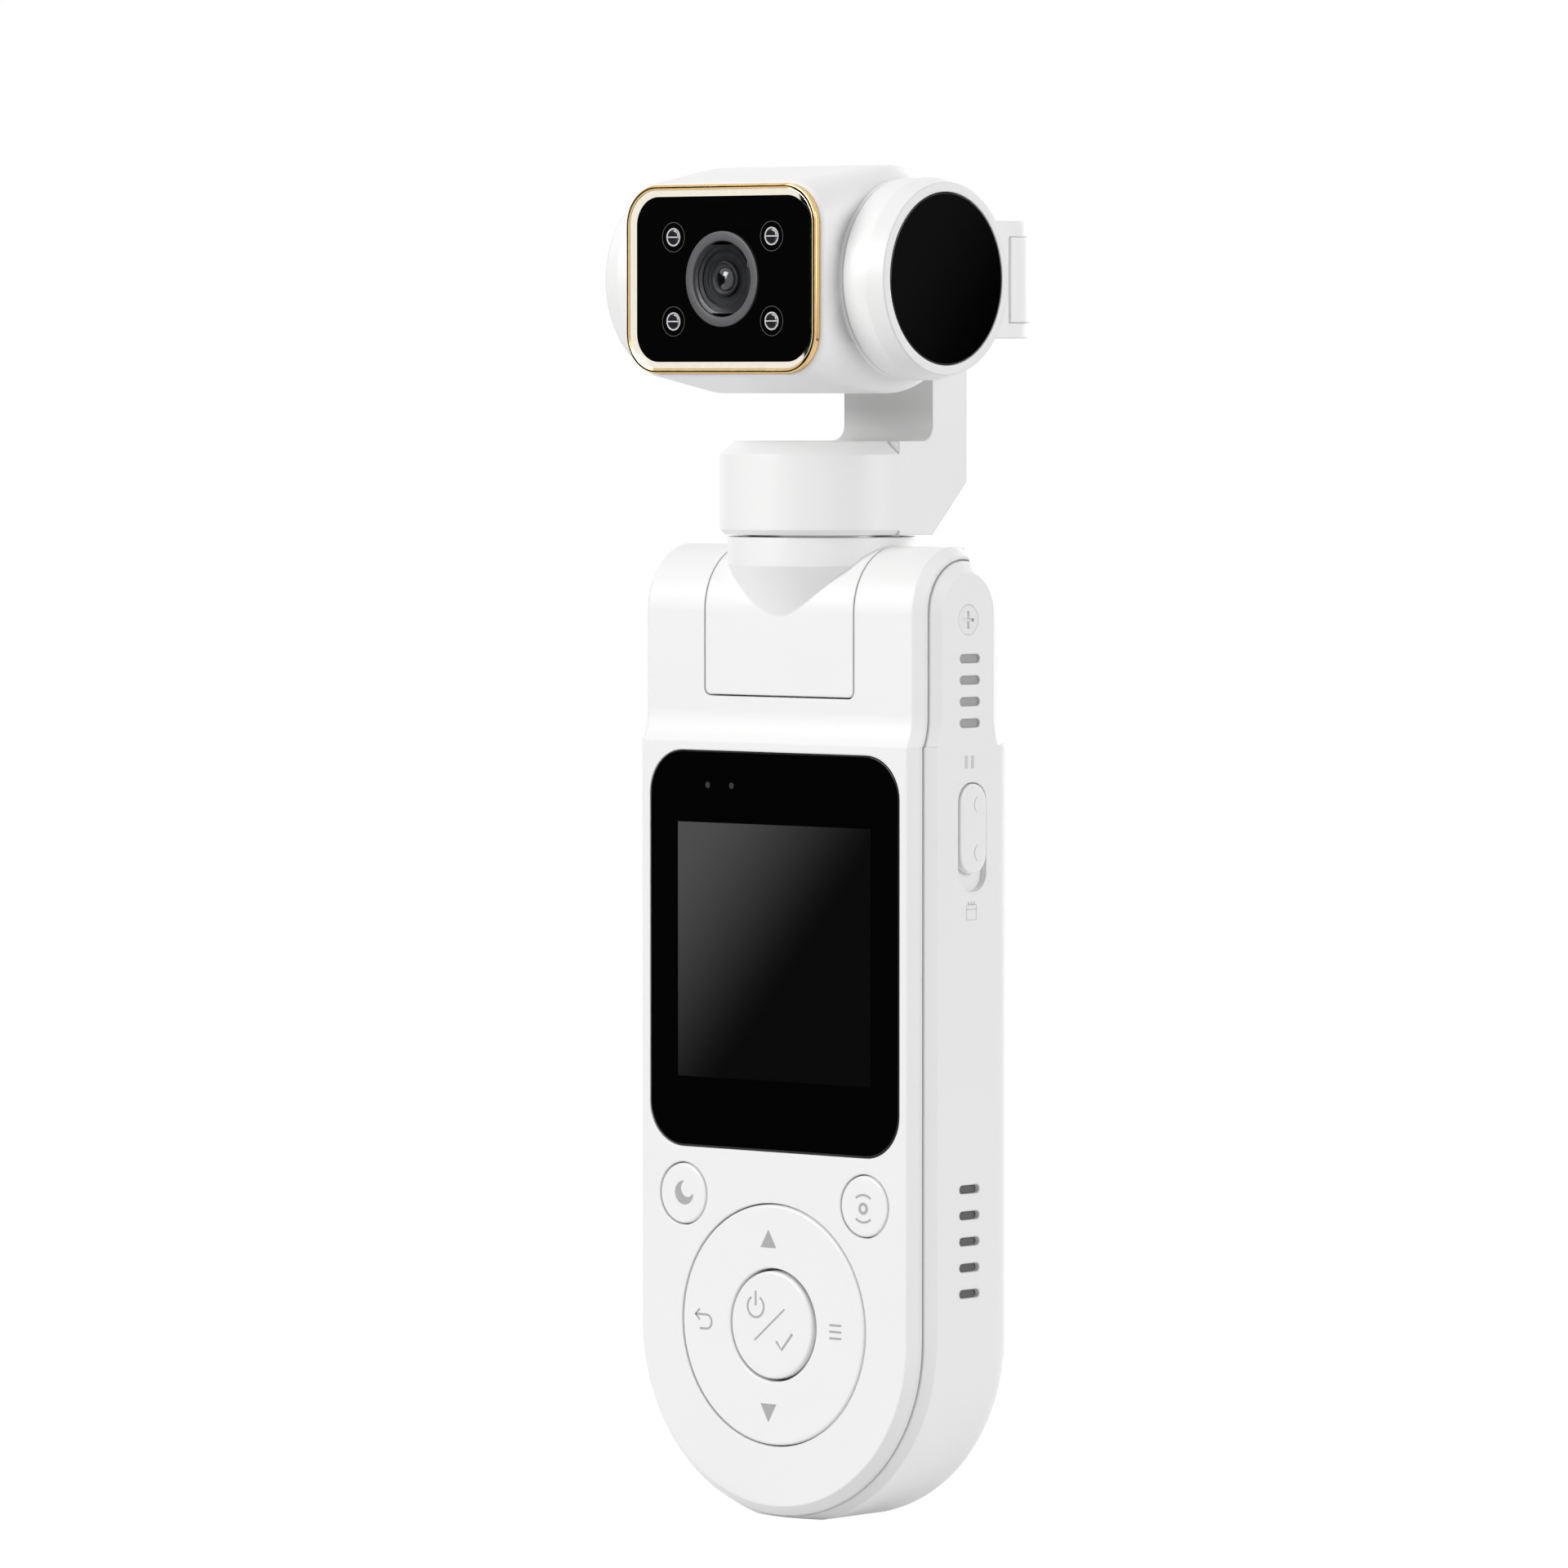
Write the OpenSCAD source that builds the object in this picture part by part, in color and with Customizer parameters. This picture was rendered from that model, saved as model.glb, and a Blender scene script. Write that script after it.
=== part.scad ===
// Hand-held body camera with a folding neck and a two-axis stabilised head.
// Origin: mouth of the tripod thread, on the pan axis. X right, -Y front, Z up.

/* [Handle] */
// Width over the rear shell
handle_w = 35.2; // [34.4:0.1:38]
// Thickness of the lower body
handle_t = 13.4; // [13:0.1:15]
// Height of the hollow curve between lower body and shoulder
step_h = 2.7; // [2:0.1:3.4]
// How far the shoulder is set back from the lower body
step_d = 0.75; // [0.5:0.05:1]
// Height of the round top of the shoulder above the step
shoulder_h = 18; // [17.6:0.1:19]
// Depth of the flat ground on the round bottom
base_flat = 0.45; // [0.3:0.05:0.8]
// Radius of the long rear edges
back_round = 2.3; // [1.8:0.1:3]
// Wall of the rear shell
shell_wall = 1.5; // [1.3:0.1:1.7]

/* [Front cover] */
// Thickness of the cover
cover_t = 1.4; // [1.3:0.05:1.6]
// Step from the side of the shell in to the edge of the cover
cover_inset = 0.7; // [0.5:0.05:0.9]
// Width of the bevel on the cover, seen from the front
cover_bevel_w = 0.9; // [0.6:0.05:1.1]
// Depth of that bevel
cover_bevel_d = 0.85; // [0.6:0.05:0.95]
// Depth of the parting line behind the front face
seam_d = 1.1; // [1:0.05:1.2]
// Width of the groove at the parting line
seam_gap = 0.15; // [0.1:0.01:0.2]
// Depth of the bevel on the rim of the shell
rim_bevel_d = 1.1; // [0.8:0.05:1.4]
// Angle that the cover wraps past the top of the shoulder
cover_wrap = 10; // [6:1:16]

/* [Display] */
// Bare margin beside the display glass
glass_margin = 0.9; // [0.6:0.05:1.4]
// Height of the display glass
glass_h = 36.5; // [35:0.1:38]
// Distance from the step down to the glass
glass_drop = 0.9; // [0.6:0.05:1.2]
// Corner radius of the glass
glass_r = 4; // [3:0.1:5]
// Thickness of the glass
glass_t = 0.9; // [0.8:0.05:1]
// Black margin beside the picture
picture_side = 3.4; // [2.8:0.05:4]
// Black margin over and under the picture
picture_end = 6.55; // [6:0.05:7.2]
// Thickness of the display panel
panel_t = 1.7; // [1.5:0.1:1.9]

/* [Keys] */
// Radius of the direction pad
pad_r = 11.05; // [10.5:0.05:11.4]
// Radius of the middle key
ok_r = 4.95; // [4.4:0.05:5.4]
// Radius of the two small keys
key_r = 2.8; // [2.4:0.05:3]
// Bare margin beside the small keys
key_margin = 2.2; // [1.8:0.05:2.6]
// Gap between the flanges of the pad and the small keys
key_pad_gap = 0.864; // [0.6:0.002:1.2]
// Distance from the glass down to the centre of the small keys
key_drop = 4.4; // [4:0.05:5]
// Gap round the keys
key_gap = 0.12; // [0.08:0.01:0.16]
// Press travel of a key
key_travel = 0.3; // [0.2:0.01:0.34]
// How far the middle key stands proud of the cover
ok_proud = 0.25; // [0.15:0.05:0.4]
// How far the pad and the small keys stand proud
pad_proud = 0.08; // [0.04:0.01:0.15]

/* [Neck] */
// Height of the fold axis above the step
hinge_rise = 11.4; // [11.2:0.1:11.8]
// Half width of the hinge block
block_hw = 8.95; // [8.75:0.05:9.3]
// Distance from the fold axis down to the foot of the block
block_drop = 7.1; // [6.8:0.1:7.3]
// Gap between the hinge block and the shoulders
block_gap = 0.15; // [0.1:0.01:0.2]
// Radius of the hub on the block
hub_r = 8.65; // [8.4:0.05:8.75]
// Height of the rim of the hub
hub_h = 2.65; // [2.2:0.05:3]
// Top of the hub above the fold axis
hub_rise = 7.4; // [7.2:0.1:7.8]
// Radius of the fold pins
pin_r = 2; // [1.8:0.05:2.2]
// Running clearance of pins and shafts in their bearings
run_fit = 0.03; // [0.02:0.01:0.05]

/* [Pan bracket] */
// Radius of the pan housing
pan_r = 9.35; // [9.2:0.05:9.6]
// Height of the pan housing
pan_h = 8.55; // [8.2:0.05:9]
// Gap between hub and housing
pan_gap = 0.2; // [0.15:0.01:0.3]
// Height of the bevel on the housing
pan_bevel_h = 1.2; // [0.8:0.1:1.6]
// Width of the bevel on the housing
pan_bevel_w = 1.4; // [0.9:0.1:1.7]
// Width of the upright arm
arm_w = 10.65; // [10:0.05:11]
// Thickness of the upright arm
arm_t = 4.8; // [4.4:0.05:5.2]
// Distance of the arm behind the pan axis
arm_y = 4.7; // [4.6:0.05:5]
// Radius of the hollow at the foot of the arm
arm_fillet = 1.4; // [1:0.1:1.8]
// Half height of the cross beam
beam_hh = 5.3; // [5:0.1:5.6]
// Radius of the rear corner of the beam
beam_round = 3.4; // [2.8:0.1:4]

/* [Head] */
// Distance of the tilt axis in front of the pan axis
tilt_y = 6.72; // [6.6:0.02:6.9]
// Height of the tilt axis above the pan housing
tilt_rise = 14.65; // [14.6:0.05:15.2]
// Centre of the head to the right of the pan axis
head_x = 3.85; // [3.6:0.05:4]
// Half width of the head
head_hw = 11.75; // [11.6:0.05:12]
// Radius of the head about the tilt axis
head_r = 10.3; // [10:0.05:10.4]
// Half height of the front of the head
face_hh = 8.85; // [8.7:0.05:8.95]
// Distance from the tilt axis to the front of the head
face_d = 11.3; // [11.1:0.05:11.4]
// Corner radius of the front of the head
face_round = 4; // [3.7:0.1:4.4]
// Radius of the edge round the front
face_edge = 0.9; // [0.6:0.1:1.1]
// Radius of the edges at the sides of the head
side_edge = 2.2; // [1.6:0.1:2.6]
// Half width of the bright trim
trim_hw = 11.4; // [11.2:0.05:11.5]
// Half height of the bright trim
trim_hh = 8.5; // [8.3:0.05:8.6]
// Width of the trim
trim_w = 0.7; // [0.5:0.05:0.9]
// How far the trim stands in front of the shell
trim_proud = 0.35; // [0.2:0.05:0.4]
// Radius of the rings at the two ends of the head
ring_r = 9.1; // [8.95:0.05:9.2]
// Radius of the rim of the rings
rim_r = 8.65; // [8.4:0.05:8.8]
// Thickness of each end ring
ring_w = 4.4; // [4.2:0.05:4.8]
// Radius of the dark disc on the motor
disc_r = 7.75; // [7.4:0.05:8]
// Radius of the lens bezel
lens_r = 4.3; // [4.1:0.05:4.5]
// Distance of the lamps from the lens, sideways
lamp_x = 5.9; // [5.8:0.05:6.2]
// Distance of the lamps from the lens, up and down
lamp_z = 3.8; // [3.7:0.05:4]
// Radius of the lamps
lamp_r = 1.3; // [1.1:0.05:1.4]

/* [Side switch and vents] */
// Length of the switch knob
knob_l = 8.2; // [7.6:0.1:8.6]
// Width of the switch knob
knob_w = 3.7; // [3.2:0.1:4]
// Travel of the switch
knob_travel = 1.5; // [1.2:0.1:1.7]
// Top of the switch recess below the step
knob_drop = 3.35; // [3:0.05:3.8]
// Length of a vent slot
vent_l = 2.8; // [2.4:0.1:3.2]
// Height of a vent slot
vent_h = 0.8; // [0.6:0.05:0.9]
// Vents beside the fold pin
vent_n = 4; // [2:1:4]
// Vents beside the speaker
sound_n = 5; // [3:1:5]

/* [Tripod socket] */
// Radius of the bore of the tripod thread
thread_r = 2.55; // [2.5:0.05:2.7]
// Length of the threaded insert
thread_l = 7.5; // [6.5:0.5:8]

/* [Hidden] */
$fn = 64;
small_fn = 20;
cut = 1;
slip = 0.1;
seat = 0.02;
half_w = handle_w / 2;
half_t = handle_t / 2;
bottom_z = half_w - base_flat;
cover_hw = half_w - cover_inset;
face_hw = cover_hw - cover_bevel_w;
inner_hw = half_w - shell_wall;
rim_hw = cover_hw + slip;
rim_d = seam_d + seam_gap;
tongue_w = 0.35;
lip_t = 0.7;
lip_h = 1.2;
lip_x = inner_hw - slip;
back_in = half_t - shell_wall;
front_in = half_t - cover_t;
flange_w = 0.6;
flange_t = 0.5;
insert_r = 3.8;
insert_boss = 1.1;
insert_lead = 0.8;
insert_top = insert_lead + thread_l;
mat_t = 0.5;
mat_set = 1.65;
mat_gap = 0.1;
mat_r = pad_r - mat_set;
mat_in_r = 6;
pad_z = insert_top + mat_gap + mat_r;
key_x = face_hw - key_margin - key_r;
key_reach = pad_r + key_r + 2 * flange_w + key_pad_gap;
key_z = pad_z + sqrt(key_reach * key_reach - key_x * key_x);
glass_foot = key_z + key_drop;
glass_top = glass_foot + glass_h;
glass_z = glass_top - glass_h / 2;
glass_hw = face_hw - glass_margin;
glass_gap = 0.05;
step_z = glass_top + glass_drop;
shoulder_r = half_t - step_d;
slim_in = shoulder_r - cover_t;
wall_mid = 3.4;
band_over = 0.85;
band_hw = shoulder_r - wall_mid + band_over;
shoulder_foot = step_z + step_h;
shoulder_top = step_z + shoulder_h;
round_z = shoulder_top - shoulder_r;
step_r = (step_d * step_d + step_h * step_h) / (2 * step_d);
step_turn = 45;
to_back = 90;
to_top = 180;
to_front = 270;
wrap_gap = 1.2;
panel_rim = 1.6;
panel_w = 2 * (glass_hw - picture_side + panel_rim);
panel_h = glass_h - 2 * picture_end + 4 * panel_rim;
panel_gap = 0.15;
key_edge = 0.3;
ok_gap = 0.25;
pad_hole_r = ok_r + ok_gap;
ok_flange_w = 0.4;
ok_flange_r = pad_hole_r + ok_flange_w;
stem_r = 1.5;
pad_room = 0.3;
press_room = key_travel + glass_gap;
switch_w = 2.6;
switch_h = 0.65;
cap_h = 0.2;
cap_r = 0.8;
board_t = 1;
board_front = 2 * pad_room + flange_t + mat_t + press_room + switch_h - front_in;
board_back = board_front + board_t;
board_hw = inner_hw - lip_t;
switch_top = board_front - switch_h;
key_end = switch_top - press_room;
pad_back = pad_room + flange_t - front_in;
pad_switch_set = 2;
pad_switch_d = mat_r - pad_switch_set;
ok_flange_y = pad_back + pad_room / 2 + slip;
screw_r = 0.8;
screw_head_r = 1.45;
screw_head_h = 1;
screw_deep = 1.4;
screw_end = -1.2;
boss_r = 1.8;
boss_x = inner_hw - boss_r - slip;
boss_split = 2.6;
boss_front = pad_back + pad_room + slip;
boss_lift = 0.9;
boss_drop = 1;
boss_turn = 47.5;
boss_low_z = glass_foot + boss_lift;
boss_top_z = glass_top - boss_drop;
boss_foot_x = boss_x * cos(boss_turn);
boss_foot_z = bottom_z - boss_x * sin(boss_turn);
screw_seat = boss_split + screw_deep;
cross_share = 0.6;
cross_w = 0.3;
cross_d = 0.25;
battery_t = 5;
battery_gap = 0.4;
battery_hw = boss_x - boss_r - battery_gap;
socket_w = 14;
socket_l = 14.4;
socket_t = 1.4;
socket_drop = 5;
socket_z = glass_z - socket_drop;
card_w = 11.4;
card_t = 1;
shield_w = 17;
shield_t = 1.1;
shield_gap = 3;
shield_drop = 2.25;
shield_low = socket_z + socket_w / 2 + shield_gap;
shield_top = glass_top - shield_drop;
usb_l = 9;
usb_w = 3.2;
usb_d = 7.3;
usb_wall = 0.3;
usb_set = 0.6;
usb_drop = 2.8;
usb_z = key_z - usb_drop;
usb_tongue = 2;
usb_tongue_t = 0.7;
usb_tongue_l = 6;
speaker_l = 12;
speaker_w = 6;
speaker_t = 3.5;
speaker_gap = 0.76;
sound_pitch = 2.38;
sound_mid = boss_low_z - boss_r - speaker_gap - speaker_l / 2;
sound_z = sound_mid + (sound_n - 1) / 2 * sound_pitch;
speaker_low = sound_mid - speaker_l / 2;
speaker_sink = max(bottom_z - speaker_low, 0);
speaker_x = sqrt(inner_hw * inner_hw - speaker_sink * speaker_sink);
vent_y = 0.2;
vent_pitch = 1.95;
vent_drop = 3.5;
mic_l = 4;
mic_t = 1.2;
knob_y = 0.57;
knob_out = 0.2;
knob_edge = 0.25;
recess_d = 0.55;
recess_gap = 0.1;
recess_l = knob_l + knob_travel + 2 * recess_gap;
recess_top = step_z - knob_drop;
knob_z = recess_top - recess_gap - knob_l / 2;
slot_mid = recess_top - recess_l / 2;
knob_stem_w = 1.6;
knob_stem_l = 4;
slot_gap = 0.15;
lever_in = 1.5;
lever_x = inner_hw - lever_in;
lever_w = 1;
lever_l = 1.6;
lever_h = 1.2;
slider_l = 7;
slider_w = 3.2;
slider_t = 2.2;
hinge_z = step_z + hinge_rise;
well_hw = block_hw + block_gap;
well_wall = 1.3;
well_floor = hinge_z - block_drop - block_gap;
block_corner = 0.6;
hub_top = hinge_z + hub_rise;
hub_low = hub_top - hub_h;
cone_slope = 0.592;
cone_drop = 1.5;
cone_low = hinge_z - cone_drop;
cone_low_r = hub_r - cone_slope * (hub_low - cone_low);
fold_gap = 0.35;
scoop_z = hinge_z - hub_r - fold_gap;
scoop_y = hub_low - hinge_z - fold_gap - glass_gap;
tail_y = 0.6;
bush_t = 0.5;
bush_l = 1.9;
bush_r = pin_r + bush_t;
pin_in = block_hw - bush_l;
pin_boss = 0.6;
pin_screw_l = 5;
pin_head_r = 1.35;
pin_head_h = 0.5;
cable_r = 2.3;
pan_z = hub_top + pan_gap;
pan_top = pan_z + pan_h;
pan_low_bevel = 0.45;
housing_wall = 1.8;
roof_t = 1.3;
bell_r = pan_r - housing_wall;
bell_wall = 0.8;
magnet_t = 0.6;
air_gap = 0.5;
core_r = bell_r - bell_wall - magnet_t - air_gap;
base_set = 0.35;
motor_base_r = bell_r - base_set;
motor_base_h = 1;
motor_h = pan_gap + pan_h - roof_t;
core_lift = 0.9;
core_z = motor_base_h + core_lift;
core_h = 4;
post_r = 2.7;
post_room = 0.25;
post_h = motor_h - bell_wall - post_room;
bell_room = 0.3;
bell_low = motor_base_h + bell_room;
bearing_r = 2;
bearing_h = 1.6;
shaft_r = 1;
teeth = 9;
slot_w = 1.9;
shoe_t = 0.6;
shoe_gap = 0.5;
yoke_t = 0.9;
tilt_z = pan_top + tilt_rise;
boss_h = 0.47;
ring_gap = 0.2;
head_side = head_hw + boss_h;
can_x = head_x + head_side + ring_gap;
ring_bevel_w = 1.8;
disc_t = 0.6;
disc_gap = 0.05;
can_room_r = 6;
can_wall = 1;
arm_x = pan_r - arm_w;
arm_back = arm_y + arm_t;
beam_over = 2.1;
beam_x = can_x + beam_over;
strip_hh = 3.9;
strip_out = 0.2;
strip_t = 0.8;
strip_x = 2;
head_split = 4.2;
trim_set = 0.35;
trim_round = face_round - trim_set;
trim_t = 1.4;
trim_edge = 0.3;
trim_front = face_d + trim_proud;
trim_back = trim_t - trim_front;
front_cut = trim_front + cut;
glass_hx = trim_hw - trim_w;
glass_hy = trim_hh - trim_w;
glass_round = trim_round - trim_w;
glass_set = 0.15;
glass_front = glass_set - trim_front;
lens_glass_t = 0.9;
barrel_r = 4;
barrel_l = 8.2;
bezel_t = 1.2;
barrel_y = glass_front + bezel_t;
barrel_step = 0.8;
lens_open_r = 3.5;
lens_flare = 0.3;
lens_mid_r = 2.6;
lens_in_r = 1.6;
element_t = 0.9;
dome_r = 4;
lamp_board_t = 0.7;
lamp_t = 1;
lamp_y = glass_front + lens_glass_t + glass_gap;
sensor_t = 0.8;
sensor_hw = 4.6;
gyro_hw = 4.4;
room_hx = 9.8;
room_hz = 7.1;
room_t = 1.5;
room_back = 3.4;

// Sketches and sweeps

// Both halves of an outline given for the right half only
function both_sides(pts) =
  concat(pts, [for (i = [len(pts) - 1:-1:0]) [-pts[i].x, pts[i].y]]);

// Rectangle with true round corners, centred
module round_rect(w, h, r) {
  square([w - 2 * r, h], center = true);
  square([w, h - 2 * r], center = true);
  for (sx = [-1, 1], sy = [-1, 1])
    translate([sx * (w / 2 - r), sy * (h / 2 - r)]) circle(r);
}

// Sketch in Y and Z, pulled along X
module pull_x(x0, x1) {
  translate([x0, 0, 0]) rotate([90, 0, 90]) linear_extrude(x1 - x0) children();
}

// Sketch in X and Z, pulled along Y
module pull_y(y0, y1) {
  translate([0, y1, 0]) rotate([90, 0, 0]) linear_extrude(y1 - y0) children();
}

// Sketch of radius and X, turned about an axis along X
module turn_x(y, z, from, to) {
  translate([0, y, z]) rotate([0, 90, 0]) rotate([0, 0, to])
    rotate_extrude(angle = from - to) children();
}

// Rod along X
module rod_x(x0, x1, r) {
  translate([x0, 0, 0]) rotate([0, 90, 0]) cylinder(r = r, h = x1 - x0);
}

// Rod along Y
module rod_y(y0, y1, r) {
  translate([0, y1, 0]) rotate([90, 0, 0]) cylinder(r = r, h = y1 - y0);
}

// Disc along Y with a bevelled front edge
module key_disc(y0, y1, r, edge) {
  translate([0, y1, 0]) rotate([90, 0, 0]) rotate_extrude()
    polygon([[0, 0], [r, 0], [r, y1 - y0 - edge], [r - edge, y1 - y0], [0, y1 - y0]]);
}

// Sweep of a wall sketch (X, depth behind the face) up the step, the shoulder and its round top
module shoulder_sweep(top_end) {
  intersection() {
    turn_x(-shoulder_r - step_r, shoulder_foot, to_back - step_turn, to_back)
      translate([step_r, 0]) mirror([1, -1]) children();
    translate([-handle_w, -half_t, step_z]) cube([2 * handle_w, handle_t, step_h]);
  }
  translate([0, -shoulder_r, shoulder_foot])
    linear_extrude(round_z - shoulder_foot) children();
  turn_x(0, round_z, top_end, to_front) translate([shoulder_r, 0]) rotate(90) children();
}

// Sweep of a wall sketch (X, depth) round the bottom and up to the step
module lower_sweep() {
  translate([0, 0, bottom_z]) rotate([90, 0, 0]) rotate([0, 0, 180])
    rotate_extrude(angle = 180) intersection() {
      translate([0, half_t]) mirror([0, 1]) children();
      translate([0, -handle_t]) square([handle_w, 2 * handle_t]);
    }
  translate([0, -half_t, bottom_z]) linear_extrude(step_z - bottom_z) children();
}

// Wall of the front cover with its bevel and inner lip; ease narrows the flat face
module cover_section(ease) {
  polygon(both_sides([
    [face_hw - ease, 0], [cover_hw, cover_bevel_d], [cover_hw, seam_d], [lip_x, seam_d],
    [lip_x, seam_d + lip_h], [lip_x - lip_t, seam_d + lip_h], [lip_x - lip_t, cover_t]
  ]));
}

// Rim of the rear shell: tongue, bevel and side wall back to the middle
module rim_section() {
  for (side = [0, 1]) mirror([side, 0]) polygon([
    [inner_hw, seam_d], [inner_hw + tongue_w, seam_d], [inner_hw + tongue_w, rim_d],
    [rim_hw, rim_d], [half_w, rim_d + rim_bevel_d], [half_w, wall_mid], [inner_hw, wall_mid]
  ]);
}

// Back half of the shoulder wall, by depth from the back
module back_section() {
  difference() {
    polygon(both_sides([
      [face_hw, 0], [rim_hw, rim_d], [half_w, rim_d + rim_bevel_d], [half_w, wall_mid]
    ]));
    translate([-inner_hw, cover_t]) square([2 * inner_hw, handle_t]);
  }
}

// Tub of the lower body: rim, sides, round back edges and back wall
module tub_section() {
  side_d = rim_d + rim_bevel_d;
  difference() {
    union() {
      translate([-inner_hw - tongue_w, seam_d]) square([2 * (inner_hw + tongue_w), rim_bevel_d]);
      polygon(both_sides([[rim_hw, rim_d], [half_w, side_d]]));
      translate([-half_w, side_d]) square([handle_w, handle_t - back_round - side_d]);
      translate([back_round - half_w, side_d])
        square([handle_w - 2 * back_round, handle_t - side_d]);
      for (side = [-1, 1])
        translate([side * (half_w - back_round), handle_t - back_round])
          circle(back_round, $fn = small_fn);
    }
    translate([-inner_hw, -cut]) square([2 * inner_hw, handle_t - shell_wall + cut]);
  }
}

// Places of the six case screws
boss_places = [
  for (side = [-1, 1]) each [
    [side * boss_x, boss_low_z], [side * boss_x, boss_top_z], [side * boss_foot_x, boss_foot_z]
  ]
];

module at_bosses() {
  $fn = small_fn;
  for (p = boss_places) translate([p.x, 0, p.y]) children();
}

// Front view of the hinge block, grown by a gap, with round lower corners
module block_front(gap) {
  w = 2 * (block_hw + gap);
  low = hinge_z - block_drop - gap;
  translate([0, (low + shoulder_top + cut) / 2])
    round_rect(w, shoulder_top + cut - low, block_corner + gap);
  translate([-w / 2, round_z]) square([w, shoulder_r + hub_rise]);
}

// Handle

module front_cover() {
  color("white") difference() {
    union() {
      lower_sweep() cover_section(0);
      shoulder_sweep(to_top - cover_wrap) cover_section(seat);
      at_bosses() rod_y(-front_in - slip, boss_split, boss_r);
    }
    pull_y(-half_t - cut, glass_t - half_t) translate([0, glass_z])
      round_rect(2 * (glass_hw + glass_gap), glass_h + 2 * glass_gap, glass_r);
    translate([-panel_w / 2 - panel_gap, -half_t, glass_z - panel_h / 2 - panel_gap])
      cube([panel_w + 2 * panel_gap, cover_t + cut, panel_h + 2 * panel_gap]);
    translate([0, 0, pad_z]) rod_y(-half_t - cut, cut - front_in, pad_r + key_gap);
    for (side = [-1, 1])
      translate([side * key_x, 0, key_z]) rod_y(-half_t - cut, cut - front_in, key_r + key_gap);
    pull_y(-half_t - cut, half_t) block_front(block_gap);
    at_bosses() rod_y(screw_end - slip, boss_split + cut, screw_r + seat);
  }
}

// Side view of the shoulder inside the cover, out to the open back
module well_profile() {
  inside = slim_in - slip;
  low = scoop_z - well_wall;
  translate([0, round_z]) circle(inside);
  translate([-inside, low]) square([inside + shoulder_r - cover_t / 2, round_z - low]);
  translate([0, round_z]) intersection() {
    circle(shoulder_r - cover_t / 2);
    rotate(-cover_wrap - wrap_gap) translate([0, -handle_t]) square(2 * handle_t);
  }
}

// Side view of the room in which the hinge block and its hub turn
module well_room() {
  polygon([
    [-handle_t, well_floor], [tail_y, well_floor], [scoop_y, scoop_z], [handle_t, scoop_z],
    [handle_t, shoulder_top + handle_t], [-handle_t, shoulder_top + handle_t]
  ]);
}

// Slot with round ends through the right wall
module vent(z) {
  translate([0, vent_y, z]) pull_x(inner_hw - cut, half_w + cut)
    round_rect(vent_l, vent_h, vent_h / 2 - seat);
}

// Middle of both shoulder side walls, with the upper vents in the right one
module ear_walls() {
  difference() {
    for (side = [0, 1]) mirror([side, 0, 0])
      pull_x(inner_hw, half_w) {
        translate([-band_hw, step_z - slip]) square([2 * band_hw, round_z + slip - step_z]);
        translate([0, round_z]) circle(band_hw);
      }
    for (i = [0:vent_n - 1])
      vent(hinge_z - vent_drop - i * vent_pitch, $fn = small_fn);
  }
}

module sound_vents() {
  for (i = [0:sound_n - 1])
    vent(sound_z - i * sound_pitch, $fn = small_fn);
}

// Openings for the sockets in the left wall and the switch in the right one
module side_openings() {
  $fn = small_fn;
  translate([0, board_back + usb_w / 2, usb_z]) pull_x(-half_w - cut, cut - inner_hw)
    round_rect(usb_w + 2 * slip, usb_l + 2 * slip, usb_w / 2 - slip);
  translate([0, board_back + socket_t / 2, socket_z]) pull_x(-half_w - cut, cut - inner_hw)
    square([card_t, card_w], center = true);
  translate([0, knob_y, slot_mid]) pull_x(half_w - recess_d, half_w + cut)
    round_rect(knob_w + 2 * recess_gap, recess_l, knob_w / 2 - slip);
  translate([0, knob_y, slot_mid]) pull_x(inner_hw - cut, half_w)
    square([knob_stem_w + 2 * slot_gap, knob_stem_l + knob_travel + 2 * slot_gap], center = true);
}

module rear_shell() {
  color("white") difference() {
    union() {
      difference() {
        union() {
          lower_sweep() tub_section();
          shoulder_sweep(to_top - cover_wrap - wrap_gap) rim_section();
          mirror([0, 1, 0]) shoulder_sweep(to_top + cover_wrap + wrap_gap) back_section();
          ear_walls();
        }
        pull_x(-well_hw, well_hw) well_room();
      }
      difference() {
        pull_x(-well_hw - well_wall, well_hw + well_wall) well_profile();
        pull_x(-well_hw, well_hw) well_room();
      }
      for (side = [0, 1]) mirror([side, 0, 0])
        translate([0, 0, hinge_z]) rod_x(well_hw, inner_hw + slip, pin_r + pin_boss);
      intersection() {
        translate([0, 0, insert_lead]) cylinder(r = insert_r + insert_boss, h = thread_l);
        translate([-half_w, boss_front, 0]) cube([handle_w, handle_t, thread_l + handle_t]);
      }
      at_bosses() rod_y(boss_split + slip, half_t - slip, boss_r);
    }
    translate([-handle_w, -handle_t, -handle_t]) cube([2 * handle_w, 2 * handle_t, handle_t]);
    translate([0, 0, -cut]) cylinder(r = insert_r + seat, h = thread_l + cut);
    at_bosses() {
      rod_y(boss_split, half_t, screw_r + slip);
      rod_y(screw_seat, half_t + cut, screw_head_r + slip);
    }
    for (side = [0, 1]) mirror([side, 0, 0]) translate([0, 0, hinge_z]) {
      rod_x(well_hw - cut, inner_hw, pin_r + seat);
      rod_x(well_hw, half_w + cut, screw_r + slip);
      rod_x(half_w - pin_head_h, half_w + cut, pin_head_r + seat);
    }
    sound_vents();
    side_openings();
  }
}

module display_glass() {
  color("black") pull_y(-half_t, glass_t - half_t) translate([0, glass_z])
    round_rect(2 * glass_hw, glass_h, glass_r);
}

module display_panel() {
  color("dimgray") translate([-panel_w / 2, glass_t - half_t, glass_z - panel_h / 2])
    cube([panel_w, panel_t, panel_h]);
}

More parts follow.
